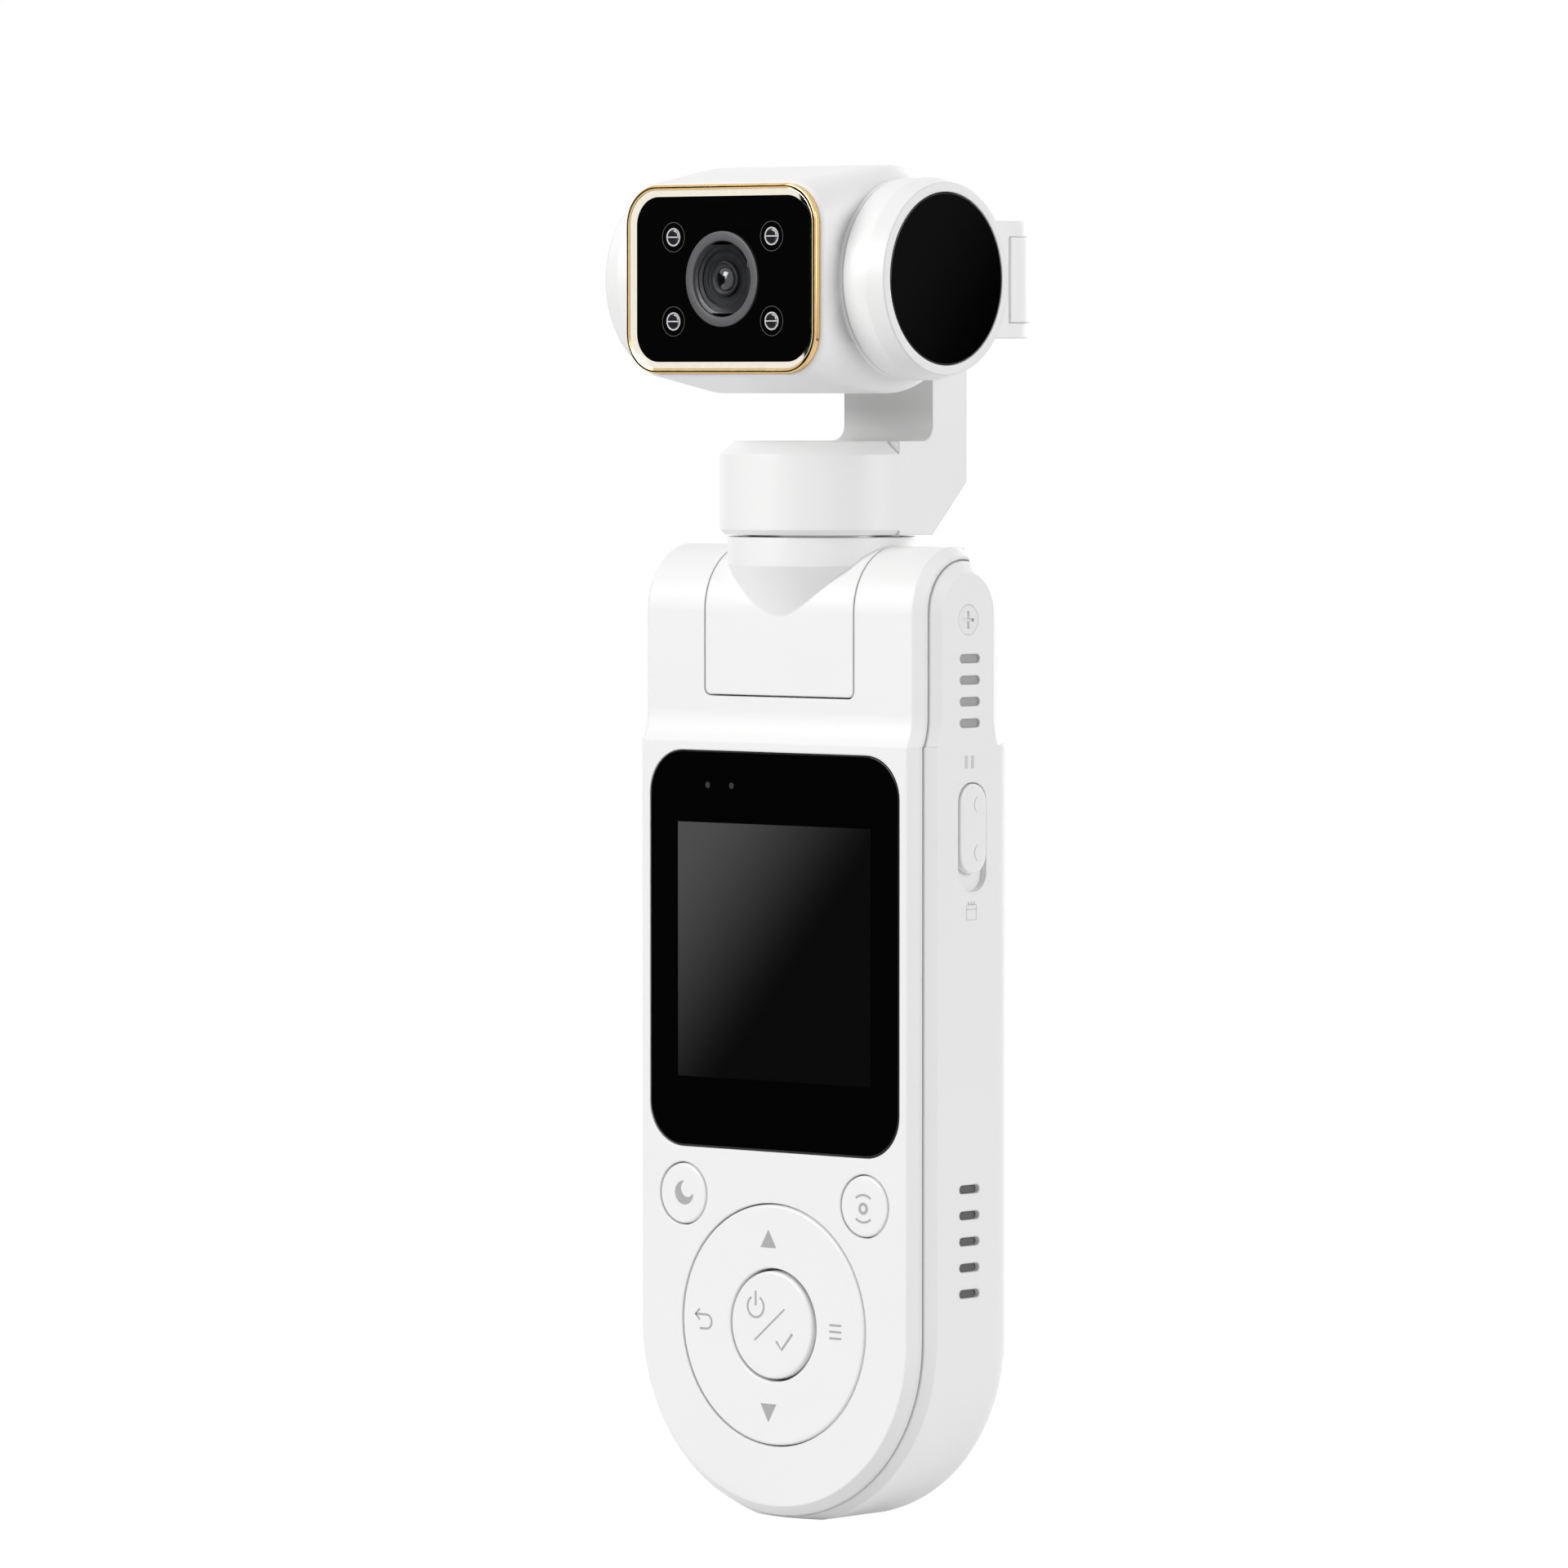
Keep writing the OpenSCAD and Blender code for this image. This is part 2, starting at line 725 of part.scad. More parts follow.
module main_board() {
  color("darkgreen") difference() {
    intersection() {
      pull_y(board_front, board_back) {
        translate([0, bottom_z]) circle(board_hw);
        translate([-board_hw, bottom_z]) square([2 * board_hw, glass_top - bottom_z]);
      }
      translate([-half_w, -half_t, insert_top + slip])
        cube([handle_w, handle_t, glass_top]);
    }
    at_bosses() rod_y(board_front - cut, board_back + cut, boss_r + 2 * slip);
  }
}

module processor_shield() {
  color("silver") translate([-shield_w / 2, board_back, shield_low])
    cube([shield_w, shield_t, shield_top - shield_low]);
}

module battery() {
  color("lightslategray") translate([-battery_hw, back_in - battery_t, glass_foot])
    cube([2 * battery_hw, battery_t, glass_h - battery_gap]);
}

module tact_switch() {
  translate([-switch_w / 2, switch_top + cap_h, -switch_w / 2])
    cube([switch_w, switch_h - cap_h, switch_w]);
  rod_y(switch_top, switch_top + cap_h + seat, cap_r);
}

module key_switches() {
  color("gray") {
    translate([0, 0, pad_z]) {
      tact_switch();
      for (turn = [0:90:270]) rotate([0, turn, 0]) translate([pad_switch_d, 0, 0]) tact_switch();
    }
    for (side = [-1, 1]) translate([side * key_x, 0, key_z]) tact_switch();
  }
}

module usb_port() {
  color("silver") translate([0, board_back + usb_w / 2, usb_z]) difference() {
    pull_x(-half_w + usb_set, usb_d - half_w + usb_set) round_rect(usb_w, usb_l, usb_w / 2 - slip);
    pull_x(-half_w + usb_set - cut, usb_d - half_w + usb_set - usb_wall)
      round_rect(usb_w - 2 * usb_wall, usb_l - 2 * usb_wall, usb_w / 2 - slip - usb_wall);
  }
  color("black")
    translate([usb_tongue - half_w, board_back + (usb_w - usb_tongue_t) / 2, usb_z - usb_tongue_l / 2])
      cube([usb_d - usb_tongue + usb_set, usb_tongue_t, usb_tongue_l]);
}

module card_socket() {
  color("silver") difference() {
    translate([slip - inner_hw, board_back, socket_z - socket_w / 2])
      cube([socket_l, socket_t, socket_w]);
    translate([-inner_hw, board_back + (socket_t - card_t) / 2, socket_z - card_w / 2])
      cube([socket_l - 2 * usb_wall, card_t, card_w]);
  }
}

module speaker() {
  color("dimgray") translate([speaker_x - speaker_t, board_back + slip, speaker_low])
    cube([speaker_t, speaker_w, speaker_l]);
}

module microphone() {
  color("silver") translate([inner_hw - mic_t, vent_y - mic_l / 2, hinge_z - vent_drop - vent_h - mic_l])
    cube([mic_t, mic_l, mic_l]);
}

module slide_switch() {
  color("dimgray") translate([lever_x - slip - slider_t, knob_y - slider_w / 2, slot_mid - slider_l / 2])
    cube([slider_t, slider_w, slider_l]);
}

module case_screws() {
  color("silver") at_bosses() difference() {
    union() {
      rod_y(screw_end, screw_seat + seat, screw_r);
      rod_y(screw_seat, screw_seat + screw_head_h, screw_head_r);
    }
    translate([0, screw_seat + screw_head_h, 0]) cross_recess(screw_head_r);
  }
}

// Cross recess in the head of a small screw, which faces back
module cross_recess(r) {
  for (turn = [0, 90]) rotate([0, turn, 0])
    translate([-r * cross_share, -cross_d, -cross_w / 2]) cube([2 * r * cross_share, 2 * cross_d, cross_w]);
}

module hinge_pins() {
  color("silver") for (side = [0, 1]) mirror([side, 0, 0]) translate([0, 0, hinge_z])
    difference() {
      rod_x(pin_in, inner_hw - slip, pin_r);
      rod_x(inner_hw - pin_screw_l, inner_hw, screw_r + seat);
    }
}

module hinge_screws() {
  color("silver") for (side = [0, 1]) mirror([side, 0, 0]) translate([0, 0, hinge_z])
    difference() {
      union() {
        rod_x(inner_hw - pin_screw_l + slip, half_w - pin_head_h + seat, screw_r);
        rod_x(half_w - pin_head_h, half_w, pin_head_r);
      }
      translate([half_w, 0, 0]) rotate([0, 0, -90]) cross_recess(pin_head_r);
    }
}

module tripod_insert() {
  color("goldenrod") difference() {
    cylinder(r = insert_r, h = thread_l);
    translate([0, 0, -cut]) cylinder(r = thread_r, h = thread_l + 2 * cut);
  }
}

// Keys

module ok_button() {
  color("white") translate([0, 0, pad_z]) {
    key_disc(-half_t - ok_proud, pad_back + pad_room, ok_r, key_edge);
    rod_y(ok_flange_y, key_end, ok_flange_r);
    rod_y(ok_flange_y - pad_room, key_end, ok_r);
  }
}

module direction_pad() {
  color("white") translate([0, 0, pad_z]) difference() {
    union() {
      key_disc(-half_t - pad_proud, pad_back, pad_r, key_edge);
      rod_y(pad_back - flange_t, pad_back, pad_r + flange_w);
    }
    rod_y(-half_t - cut, half_t, pad_hole_r);
  }
}

module pad_mat() {
  color("lightgray") translate([0, 0, pad_z]) difference() {
    rod_y(pad_back + pad_room, pad_back + pad_room + mat_t, mat_r);
    rod_y(pad_back, half_t, mat_in_r);
  }
}

module small_key() {
  key_disc(-half_t - pad_proud, -front_in + slip, key_r, key_edge);
  rod_y(glass_gap - front_in, glass_gap - front_in + flange_t, key_r + flange_w);
  rod_y(glass_gap - front_in, key_end, stem_r);
}

module night_button() {
  color("white") translate([-key_x, 0, key_z]) small_key();
}

module track_button() {
  color("white") translate([key_x, 0, key_z]) small_key();
}

// Side switch

// Bar with round ends and a bevelled outer edge, standing along Z and facing +X
module pill(l, w, x0, x1, edge) {
  h = x1 - x0;
  outline = [[w / 2, 0], [w / 2, h - edge], [w / 2 - edge, h]];
  for (side = [-1, 1]) translate([x0, 0, side * (l - w) / 2]) rotate([0, 90, 0])
    rotate_extrude() polygon(concat([[0, 0]], outline, [[0, h]]));
  translate([x0, 0, -(l - w) / 2]) linear_extrude(l - w) rotate(-90)
    polygon(both_sides(outline));
}

module slide_knob() {
  color("white") translate([0, knob_y, knob_z]) {
    pill(knob_l, knob_w, half_w - recess_d + glass_gap, half_w + knob_out, knob_edge);
    translate([lever_x + lever_h + glass_gap, -knob_stem_w / 2, -knob_stem_l / 2])
      cube([half_w - recess_d + slip - lever_x - lever_h, knob_stem_w, knob_stem_l]);
  }
}

module switch_lever() {
  color("black") translate([lever_x, knob_y - lever_w / 2, knob_z - lever_l / 2])
    cube([lever_h, lever_w, lever_l]);
}

// Folding neck

module hinge_block() {
  color("white") difference() {
    union() {
      intersection() {
        pull_x(-block_hw, block_hw) {
          translate([0, round_z]) circle(shoulder_r);
          translate([0, hinge_z]) circle(shoulder_r);
          translate([-shoulder_r, hinge_z - block_drop])
            square([shoulder_r, round_z - hinge_z + block_drop]);
          translate([0, hinge_z]) square([shoulder_r, round_z - hinge_z]);
        }
        pull_y(-handle_t, handle_t) block_front(0);
      }
      translate([0, 0, hub_low]) cylinder(r = hub_r, h = hub_h);
      translate([0, 0, cone_low]) cylinder(r1 = cone_low_r, r2 = hub_r, h = hub_low - cone_low);
    }
    translate([0, 0, hinge_z]) rod_x(-block_hw - cut, block_hw + cut, bush_r + seat);
    translate([0, 0, hinge_z - bush_r - cut]) cylinder(r = cable_r, h = hub_top);
  }
}

module hinge_bushes() {
  color("goldenrod") for (side = [0, 1]) mirror([side, 0, 0]) translate([0, 0, hinge_z])
    difference() {
      rod_x(pin_in, block_hw, bush_r);
      rod_x(pin_in - cut, block_hw + cut, pin_r + run_fit);
    }
}

// Motor: the fixed half stands on z = 0, the bell turns above it

module motor_base() {
  difference() {
    union() {
      cylinder(r = motor_base_r, h = motor_base_h);
      cylinder(r = post_r, h = post_h);
    }
    translate([0, 0, -cut]) cylinder(r = bearing_r + seat, h = motor_h);
  }
}

module motor_core() {
  translate([0, 0, core_z]) difference() {
    cylinder(r = core_r, h = core_h);
    translate([0, 0, -cut]) cylinder(r = post_r + seat, h = core_h + 2 * cut);
    for (i = [0:teeth - 1]) rotate(i * 360 / teeth) {
      translate([post_r + yoke_t, -slot_w / 2, -cut])
        cube([core_r - shoe_t - post_r - yoke_t, slot_w, core_h + 2 * cut]);
      translate([post_r + yoke_t, -shoe_gap / 2, -cut]) cube([core_r, shoe_gap, core_h + 2 * cut]);
    }
  }
}

module motor_bearings() {
  for (z = [0, post_h - bearing_h]) translate([0, 0, z]) difference() {
    cylinder(r = bearing_r, h = bearing_h);
    translate([0, 0, -cut]) cylinder(r = shaft_r + run_fit, h = bearing_h + 2 * cut);
  }
}

module motor_bell() {
  difference() {
    translate([0, 0, bell_low]) cylinder(r = bell_r, h = motor_h - bell_low);
    translate([0, 0, -cut]) cylinder(r = bell_r - bell_wall, h = motor_h - bell_wall + cut);
  }
  cylinder(r = shaft_r, h = motor_h - slip);
}

module motor_magnets() {
  translate([0, 0, core_z]) difference() {
    cylinder(r = bell_r - bell_wall, h = core_h);
    translate([0, 0, -cut]) cylinder(r = bell_r - bell_wall - magnet_t, h = core_h + 2 * cut);
  }
}

module at_pan_motor() {
  translate([0, 0, hub_top]) children();
}

module at_tilt_motor() {
  translate([can_x, -tilt_y, tilt_z]) rotate([0, -90, 0]) children();
}

module pan_base() {
  color("silver") at_pan_motor() motor_base();
}

module pan_core() {
  color("chocolate") at_pan_motor() motor_core();
}

module pan_bearings() {
  color("goldenrod") at_pan_motor() motor_bearings();
}

// Pan bracket

// Plan of the cross beam, grown by a gap
module beam_plan(grow) {
  translate([arm_x, arm_y]) square([beam_x - arm_x - beam_round, arm_t + grow]);
  translate([arm_x, arm_y]) square([beam_x - arm_x + grow, arm_t - beam_round]);
  intersection() {
    translate([beam_x - beam_round, arm_back - beam_round]) circle(beam_round + grow);
    translate([arm_x, arm_y]) square(2 * beam_x);
  }
}

// Plan of the cover strip and of its seat
module strip_plan(out, inset) {
  intersection() {
    difference() {
      beam_plan(out);
      beam_plan(-inset);
    }
    union() {
      translate([strip_x, arm_back - beam_round]) square([2 * beam_x, 2 * beam_round]);
      translate([beam_x - beam_round, arm_y + slip]) square([2 * beam_round, arm_t]);
    }
  }
}

// Outline of an end ring by radius and distance from the head
module ring_outline() {
  polygon([
    [0, 0], [ring_r, 0], [ring_r, ring_w - ring_bevel_w], [rim_r, ring_w], [0, ring_w]
  ]);
}

module pan_bracket() {
  color("white") difference() {
    union() {
      translate([0, 0, pan_z]) rotate_extrude() polygon([
        [0, 0], [pan_r - pan_low_bevel, 0], [pan_r, pan_low_bevel], [pan_r, pan_h - pan_bevel_h],
        [pan_r - pan_bevel_w, pan_h], [0, pan_h]
      ]);
      pull_x(arm_x, pan_r) polygon([
        [0, pan_z], [arm_y, pan_z], [arm_back, pan_z + arm_t], [arm_back, tilt_z],
        [arm_y, tilt_z], [arm_y, pan_top], [0, pan_top]
      ]);
      pull_x(arm_x, pan_r) difference() {
        translate([arm_y - arm_fillet, pan_top - seat]) square(arm_fillet + seat);
        translate([arm_y - arm_fillet, pan_top + arm_fillet]) circle(arm_fillet);
      }
      pull_y(arm_y, pan_r - pan_bevel_w) difference() {
        translate([arm_x - arm_fillet, pan_top - seat]) square(arm_fillet + seat);
        translate([arm_x - arm_fillet, pan_top + arm_fillet]) circle(arm_fillet);
      }
      translate([0, 0, tilt_z - beam_hh]) linear_extrude(2 * beam_hh) {
        beam_plan(0);
        translate([can_x, 0]) square([beam_x - can_x, arm_back - beam_round]);
      }
      translate([can_x, -tilt_y, tilt_z]) rotate([0, 90, 0]) rotate_extrude() ring_outline();
    }
    translate([0, 0, pan_z - cut]) cylinder(r = bell_r + glass_gap, h = pan_h - roof_t + cut);
    translate([0, 0, tilt_z - strip_hh]) linear_extrude(2 * strip_hh) strip_plan(cut, strip_t - strip_out);
    translate([0, -tilt_y, tilt_z]) {
      rod_x(can_x + ring_w - disc_t, can_x + ring_w + cut, disc_r + disc_gap);
      rod_x(can_x + can_wall, can_x + ring_w, can_room_r);
      rod_x(can_x - cut, can_x + ring_w - cut, post_r);
    }
  }
}

module yoke_strip() {
  color("white") translate([0, 0, tilt_z - strip_hh + seat]) linear_extrude(2 * (strip_hh - seat))
    strip_plan(strip_out, strip_t - strip_out - seat);
}

module pan_bell() {
  color("dimgray") at_pan_motor() motor_bell();
}

module pan_magnets() {
  color("gray") at_pan_motor() motor_magnets();
}

module tilt_base() {
  color("silver") at_tilt_motor() motor_base();
}

module tilt_core() {
  color("chocolate") at_tilt_motor() motor_core();
}

module tilt_bearings() {
  color("goldenrod") at_tilt_motor() motor_bearings();
}

module motor_disc() {
  color("black") translate([0, -tilt_y, tilt_z])
    rod_x(can_x + ring_w - disc_t, can_x + ring_w, disc_r);
}

// Head, built about the tilt axis

module at_head() {
  translate([head_x, -tilt_y, tilt_z]) children();
}

module head_form() {
  hull() {
    for (sx = [-1, 1], sz = [-1, 1])
      translate([sx * (head_hw - face_round), face_edge - face_d, sz * (face_hh - face_round)])
        rotate([90, 0, 0]) rotate_extrude($fn = 36)
          translate([face_round - face_edge, 0]) circle(face_edge, $fn = 20);
    for (sx = [-1, 1])
      translate([sx * (head_hw - side_edge), 0, 0]) rotate([0, 90, 0])
        rotate_extrude($fn = 80) translate([head_r - side_edge, 0]) circle(side_edge, $fn = 24);
  }
}

// Rooms inside the head for the trim, the lens, the boards and the motor bell
module head_rooms() {
  front = face_d + cut;
  pull_y(-front, trim_back) round_rect(2 * (trim_hw + glass_gap), 2 * (trim_hh + glass_gap), trim_round);
  translate([-room_hx, trim_back - cut, -room_hz])
    cube([2 * room_hx, cut + room_t, 2 * room_hz]);
  translate([-sensor_hw - slip, trim_back, -sensor_hw - slip])
    cube([2 * (sensor_hw + slip), room_back - trim_back, 2 * (sensor_hw + slip)]);
  rod_x(head_side + ring_gap - motor_h, head_side + cut, bell_r + glass_gap);
}

module head_shell() {
  color("white") at_head() difference() {
    union() {
      intersection() {
        head_form();
        translate([-handle_w, -handle_t - head_split, -handle_t])
          cube([2 * handle_w, handle_t + 2 * head_split, 2 * handle_t]);
      }
      intersection() {
        rod_x(-head_side, head_side, ring_r - slip);
        translate([-handle_w, -handle_t - head_split, -handle_t])
          cube([2 * handle_w, handle_t + 2 * head_split, 2 * handle_t]);
      }
    }
    head_rooms();
  }
}

module head_back() {
  color("white") at_head() difference() {
    union() {
      intersection() {
        head_form();
        translate([-handle_w, head_split + seam_gap, -handle_t]) cube(2 * handle_w);
      }
      intersection() {
        rod_x(-head_side, head_side, ring_r - slip);
        translate([-handle_w, head_split + seam_gap, -handle_t]) cube(2 * handle_w);
      }
    }
    head_rooms();
  }
}

module left_cap() {
  color("white") at_head() translate([-head_side, 0, 0]) rotate([0, -90, 0])
    rotate_extrude() ring_outline();
}

module face_trim() {
  color("gold") at_head() difference() {
    union() {
      pull_y(-trim_front + trim_edge, trim_back)
        round_rect(2 * trim_hw, 2 * trim_hh, trim_round);
      pull_y(-trim_front, trim_back)
        round_rect(2 * (trim_hw - trim_edge), 2 * (trim_hh - trim_edge), trim_round - trim_edge);
    }
    pull_y(-front_cut, trim_back + cut)
      round_rect(2 * glass_hx, 2 * glass_hy, glass_round);
  }
}

module face_glass() {
  color("black") at_head() difference() {
    pull_y(glass_front, glass_front + lens_glass_t)
      round_rect(2 * (glass_hx - glass_gap), 2 * (glass_hy - glass_gap), glass_round);
    rod_y(-front_cut, 0, lens_r + glass_gap);
  }
}

module lens_bezel() {
  color("gray") at_head() difference() {
    rod_y(glass_front, glass_front + bezel_t, lens_r);
    translate([0, glass_front + bezel_t + cut, 0]) rotate([90, 0, 0])
      cylinder(r1 = lens_mid_r, r2 = lens_open_r + lens_flare, h = bezel_t + 2 * cut);
  }
}

module lens_barrel() {
  color("black") at_head() difference() {
    rod_y(barrel_y, barrel_y + barrel_l, barrel_r);
    rod_y(barrel_y - cut, barrel_y + barrel_step, lens_mid_r + slip);
    rod_y(barrel_y - cut, barrel_y + barrel_l - barrel_step, lens_in_r + slip);
    rod_y(barrel_y, barrel_y + barrel_l + cut, lens_in_r - slip);
  }
}

module lens_elements() {
  color("lightblue") at_head() {
    intersection() {
      rod_y(barrel_y - element_t, barrel_y + barrel_step, lens_mid_r);
      translate([0, barrel_y + barrel_step - element_t + dome_r - element_t, 0]) sphere(dome_r);
    }
    rod_y(barrel_y + barrel_l / 2, barrel_y + barrel_l / 2 + element_t, lens_in_r);
    rod_y(barrel_y + barrel_l - barrel_step - element_t, barrel_y + barrel_l - barrel_step, lens_in_r);
  }
}

module sensor_board() {
  color("darkgreen") at_head()
    translate([-sensor_hw, barrel_y + barrel_l, -sensor_hw])
      cube([2 * sensor_hw, sensor_t, 2 * sensor_hw]);
}

module gyro_board() {
  color("darkgreen") at_head()
    translate([-gyro_hw, room_back - sensor_t, -gyro_hw])
      cube([2 * gyro_hw, sensor_t, 2 * gyro_hw]);
}

module lamp_board() {
  color("darkgreen") at_head() difference() {
    pull_y(lamp_y + lamp_t, lamp_y + lamp_t + lamp_board_t)
      round_rect(2 * (room_hx - slip), 2 * (room_hz - slip), glass_round);
    rod_y(-front_cut, half_t, barrel_r + slip);
  }
}

module infrared_lamps() {
  color("white") at_head() for (sx = [-1, 1], sz = [-1, 1])
    translate([sx * lamp_x, 0, sz * lamp_z]) rod_y(lamp_y, lamp_y + lamp_t, lamp_r);
}

module tilt_bell() {
  color("dimgray") at_tilt_motor() motor_bell();
}

module tilt_magnets() {
  color("gray") at_tilt_motor() motor_magnets();
}

front_cover();
rear_shell();
display_glass();
display_panel();
main_board();
processor_shield();
battery();
key_switches();
usb_port();
card_socket();
speaker();
microphone();
slide_switch();
case_screws();
hinge_pins();
hinge_screws();
tripod_insert();
ok_button();
direction_pad();
pad_mat();
night_button();
track_button();
slide_knob();
switch_lever();
hinge_block();
hinge_bushes();
pan_base();
pan_core();
pan_bearings();
pan_bracket();
yoke_strip();
pan_bell();
pan_magnets();
tilt_base();
tilt_core();
tilt_bearings();
motor_disc();
head_shell();
head_back();
left_cap();
face_trim();
face_glass();
lens_bezel();
lens_barrel();
lens_elements();
sensor_board();
gyro_board();
lamp_board();
infrared_lamps();
tilt_bell();
tilt_magnets();
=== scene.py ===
import math

import bmesh
import bpy
import numpy as np
from mathutils import Matrix, Vector


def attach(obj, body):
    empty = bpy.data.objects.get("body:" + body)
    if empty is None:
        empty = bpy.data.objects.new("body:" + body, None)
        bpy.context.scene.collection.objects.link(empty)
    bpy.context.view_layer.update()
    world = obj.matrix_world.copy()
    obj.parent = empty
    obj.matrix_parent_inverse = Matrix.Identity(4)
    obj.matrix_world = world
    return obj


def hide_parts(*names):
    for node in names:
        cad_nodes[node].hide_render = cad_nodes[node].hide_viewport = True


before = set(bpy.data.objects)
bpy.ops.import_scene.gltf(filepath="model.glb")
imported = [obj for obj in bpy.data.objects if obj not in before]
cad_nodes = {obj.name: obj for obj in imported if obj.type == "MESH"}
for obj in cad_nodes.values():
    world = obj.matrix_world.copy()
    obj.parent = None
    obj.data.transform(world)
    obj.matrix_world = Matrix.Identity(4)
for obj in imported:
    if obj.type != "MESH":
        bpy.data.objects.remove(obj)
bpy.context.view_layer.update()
MM = 0.001

# Camera and studio
# A long lens stands to the right of the object and a little above it, as for the photograph.
# The floor and surround are white to the eye, and soft boxes light the object at a plain level.
# Black cards out of the picture keep the glass dark and shade the round forms, as in a studio.
PIXEL = 0.075 * MM
LENS_PIXELS = 11700
FRAME_PIXELS = 1920
SENSOR = 36
TURN = math.radians(41.2)
RISE_PIXELS = 493
TILT = math.atan(RISE_PIXELS / LENS_PIXELS)
AXIS_COLUMN = 1006
AIM_HEIGHT = 67.15 * MM

scene = bpy.context.scene
scene.view_settings.view_transform = "Standard"


def stand_at(item, right, upward, backward, spot):
    """Puts a camera or lamp at spot, with its own axes along three given directions."""
    matrix = np.eye(4)
    matrix[:3, :4] = np.array([right, upward, backward, spot]).T
    item.matrix_world = Matrix(matrix.tolist())


def aimed(spot, target):
    """Axes of a lamp at spot that looks at target: right, up and backward."""
    back = np.array(spot, float) - np.array(target, float)
    back /= np.linalg.norm(back)
    side = np.cross((0, 0, 1), back)
    side /= np.linalg.norm(side)
    return side, np.cross(back, side), back


view_right = np.array([math.cos(TURN), math.sin(TURN), 0])
view_ahead = np.array([
    -math.sin(TURN) * math.cos(TILT), math.cos(TURN) * math.cos(TILT), -math.sin(TILT)])
view_up = np.cross(view_right, view_ahead)
view_aim = np.array([0, 0, AIM_HEIGHT]) - view_right * (AXIS_COLUMN - FRAME_PIXELS / 2) * PIXEL
camera_data = bpy.data.cameras.new("studio_camera")
camera_data.sensor_width = SENSOR
camera_data.lens = LENS_PIXELS / FRAME_PIXELS * SENSOR
camera_data.clip_start = 0.01
camera = bpy.data.objects.new("studio_camera", camera_data)
scene.collection.objects.link(camera)
stand_at(camera, view_right, view_up, -view_ahead, view_aim - view_ahead * LENS_PIXELS * PIXEL)
scene.camera = camera


class Socket:
    """An output of a shader node. Sums written with it add Math nodes."""

    def __init__(self, paint, out):
        self.paint = paint
        self.out = out

    def math(self, operation, first, second=0.0):
        return self.paint.node("Math", {"operation": operation}, {0: first, 1: second})

    def __add__(self, other):
        return self.math("ADD", self, other)

    def __radd__(self, other):
        return self.math("ADD", other, self)

    def __sub__(self, other):
        return self.math("SUBTRACT", self, other)

    def __rsub__(self, other):
        return self.math("SUBTRACT", other, self)

    def __mul__(self, other):
        return self.math("MULTIPLY", self, other)

    def __rmul__(self, other):
        return self.math("MULTIPLY", other, self)

    def __abs__(self):
        return self.math("ABSOLUTE", self)

    def most(self, other):
        return self.math("MAXIMUM", self, other)

    def sine(self):
        return self.math("SINE", self)

    def below(self, limit, blur):
        """1 where the value is under limit, 0 where it is over, with a soft edge as wide as blur."""
        return self.paint.node("MapRange", {"interpolation_type": "SMOOTHSTEP"}, {
            "Value": self, "From Min": limit - blur / 2, "From Max": limit + blur / 2,
            "To Min": 1.0, "To Max": 0.0})


def grey(level):
    """A colour with no hue."""
    return (level, level, level)


class Paint:
    """A material in the making: its Principled shader, and the nodes that feed it."""

    def __init__(self, name, **fixed):
        self.material = bpy.data.materials.new(name)
        self.material.use_nodes = True
        self.tree = self.material.node_tree
        self.shader = self.tree.nodes["Principled BSDF"]
        for socket, value in fixed.items():
            self.feed(self.shader.inputs[socket.replace("_", " ")], value)
        self.place = self.node("TexCoord", out="Object")

    def feed(self, socket, value):
        if isinstance(value, Socket):
            self.tree.links.new(value.out, socket)
        elif isinstance(value, tuple) and socket.type == "RGBA":
            socket.default_value = value + (1,)
        else:
            socket.default_value = value

    def node(self, kind, settings=None, sockets=None, out=0):
        made = self.tree.nodes.new("ShaderNode" + kind)
        for key, value in (settings or {}).items():
            setattr(made, key, value)
        for key, value in (sockets or {}).items():
            self.feed(made.inputs[key], value)
        return Socket(self, made.outputs[out])

    def axes(self):
        """Object coordinates in millimetres, one socket an axis."""
        grown = self.node("VectorMath", {"operation": "SCALE"}, {0: self.place, "Scale": 1 / MM})
        split = self.tree.nodes.new("ShaderNodeSeparateXYZ")
        self.feed(split.inputs[0], grown)
        return [Socket(self, out) for out in split.outputs]

    def noise(self, size, detail=2.0):
        """Grey clouds of about size metres."""
        return self.node("TexNoise", None, {"Vector": self.place, "Scale": 1 / size, "Detail": detail})

    def blend(self, share, low, high):
        """A colour between low and high."""
        return self.node("Mix", {"data_type": "RGBA"}, {0: share, 6: low, 7: high}, out=2)

    def colour(self, value):
        self.feed(self.shader.inputs["Base Color"], value)

    def rough(self, value):
        self.feed(self.shader.inputs["Roughness"], value)

    def relief(self, height, depth, edge=0.0):
        """Bump of depth metres, on edges softened by a radius of edge metres."""
        sockets = {"Height": height, "Distance": depth}
        if edge:
            sockets["Normal"] = self.node("Bevel", {"samples": 6}, {"Radius": edge})
        self.feed(self.shader.inputs["Normal"], self.node("Bump", None, sockets))


def background(paint_tree, lit, seen):
    """Mixes two shaders: lit lights the object, and seen is what the eye, gloss and glass find."""
    nodes, links = paint_tree.nodes, paint_tree.links
    path = nodes.new("ShaderNodeLightPath")
    share = path.outputs["Is Camera Ray"]
    for name in ("Is Glossy Ray", "Is Transmission Ray"):
        larger = nodes.new("ShaderNodeMath")
        larger.operation = "MAXIMUM"
        links.new(share, larger.inputs[0])
        links.new(path.outputs[name], larger.inputs[1])
        share = larger.outputs[0]
    mix = nodes.new("ShaderNodeMixShader")
    links.new(share, mix.inputs[0])
    links.new(lit, mix.inputs[1])
    links.new(seen, mix.inputs[2])
    return mix.outputs[0]


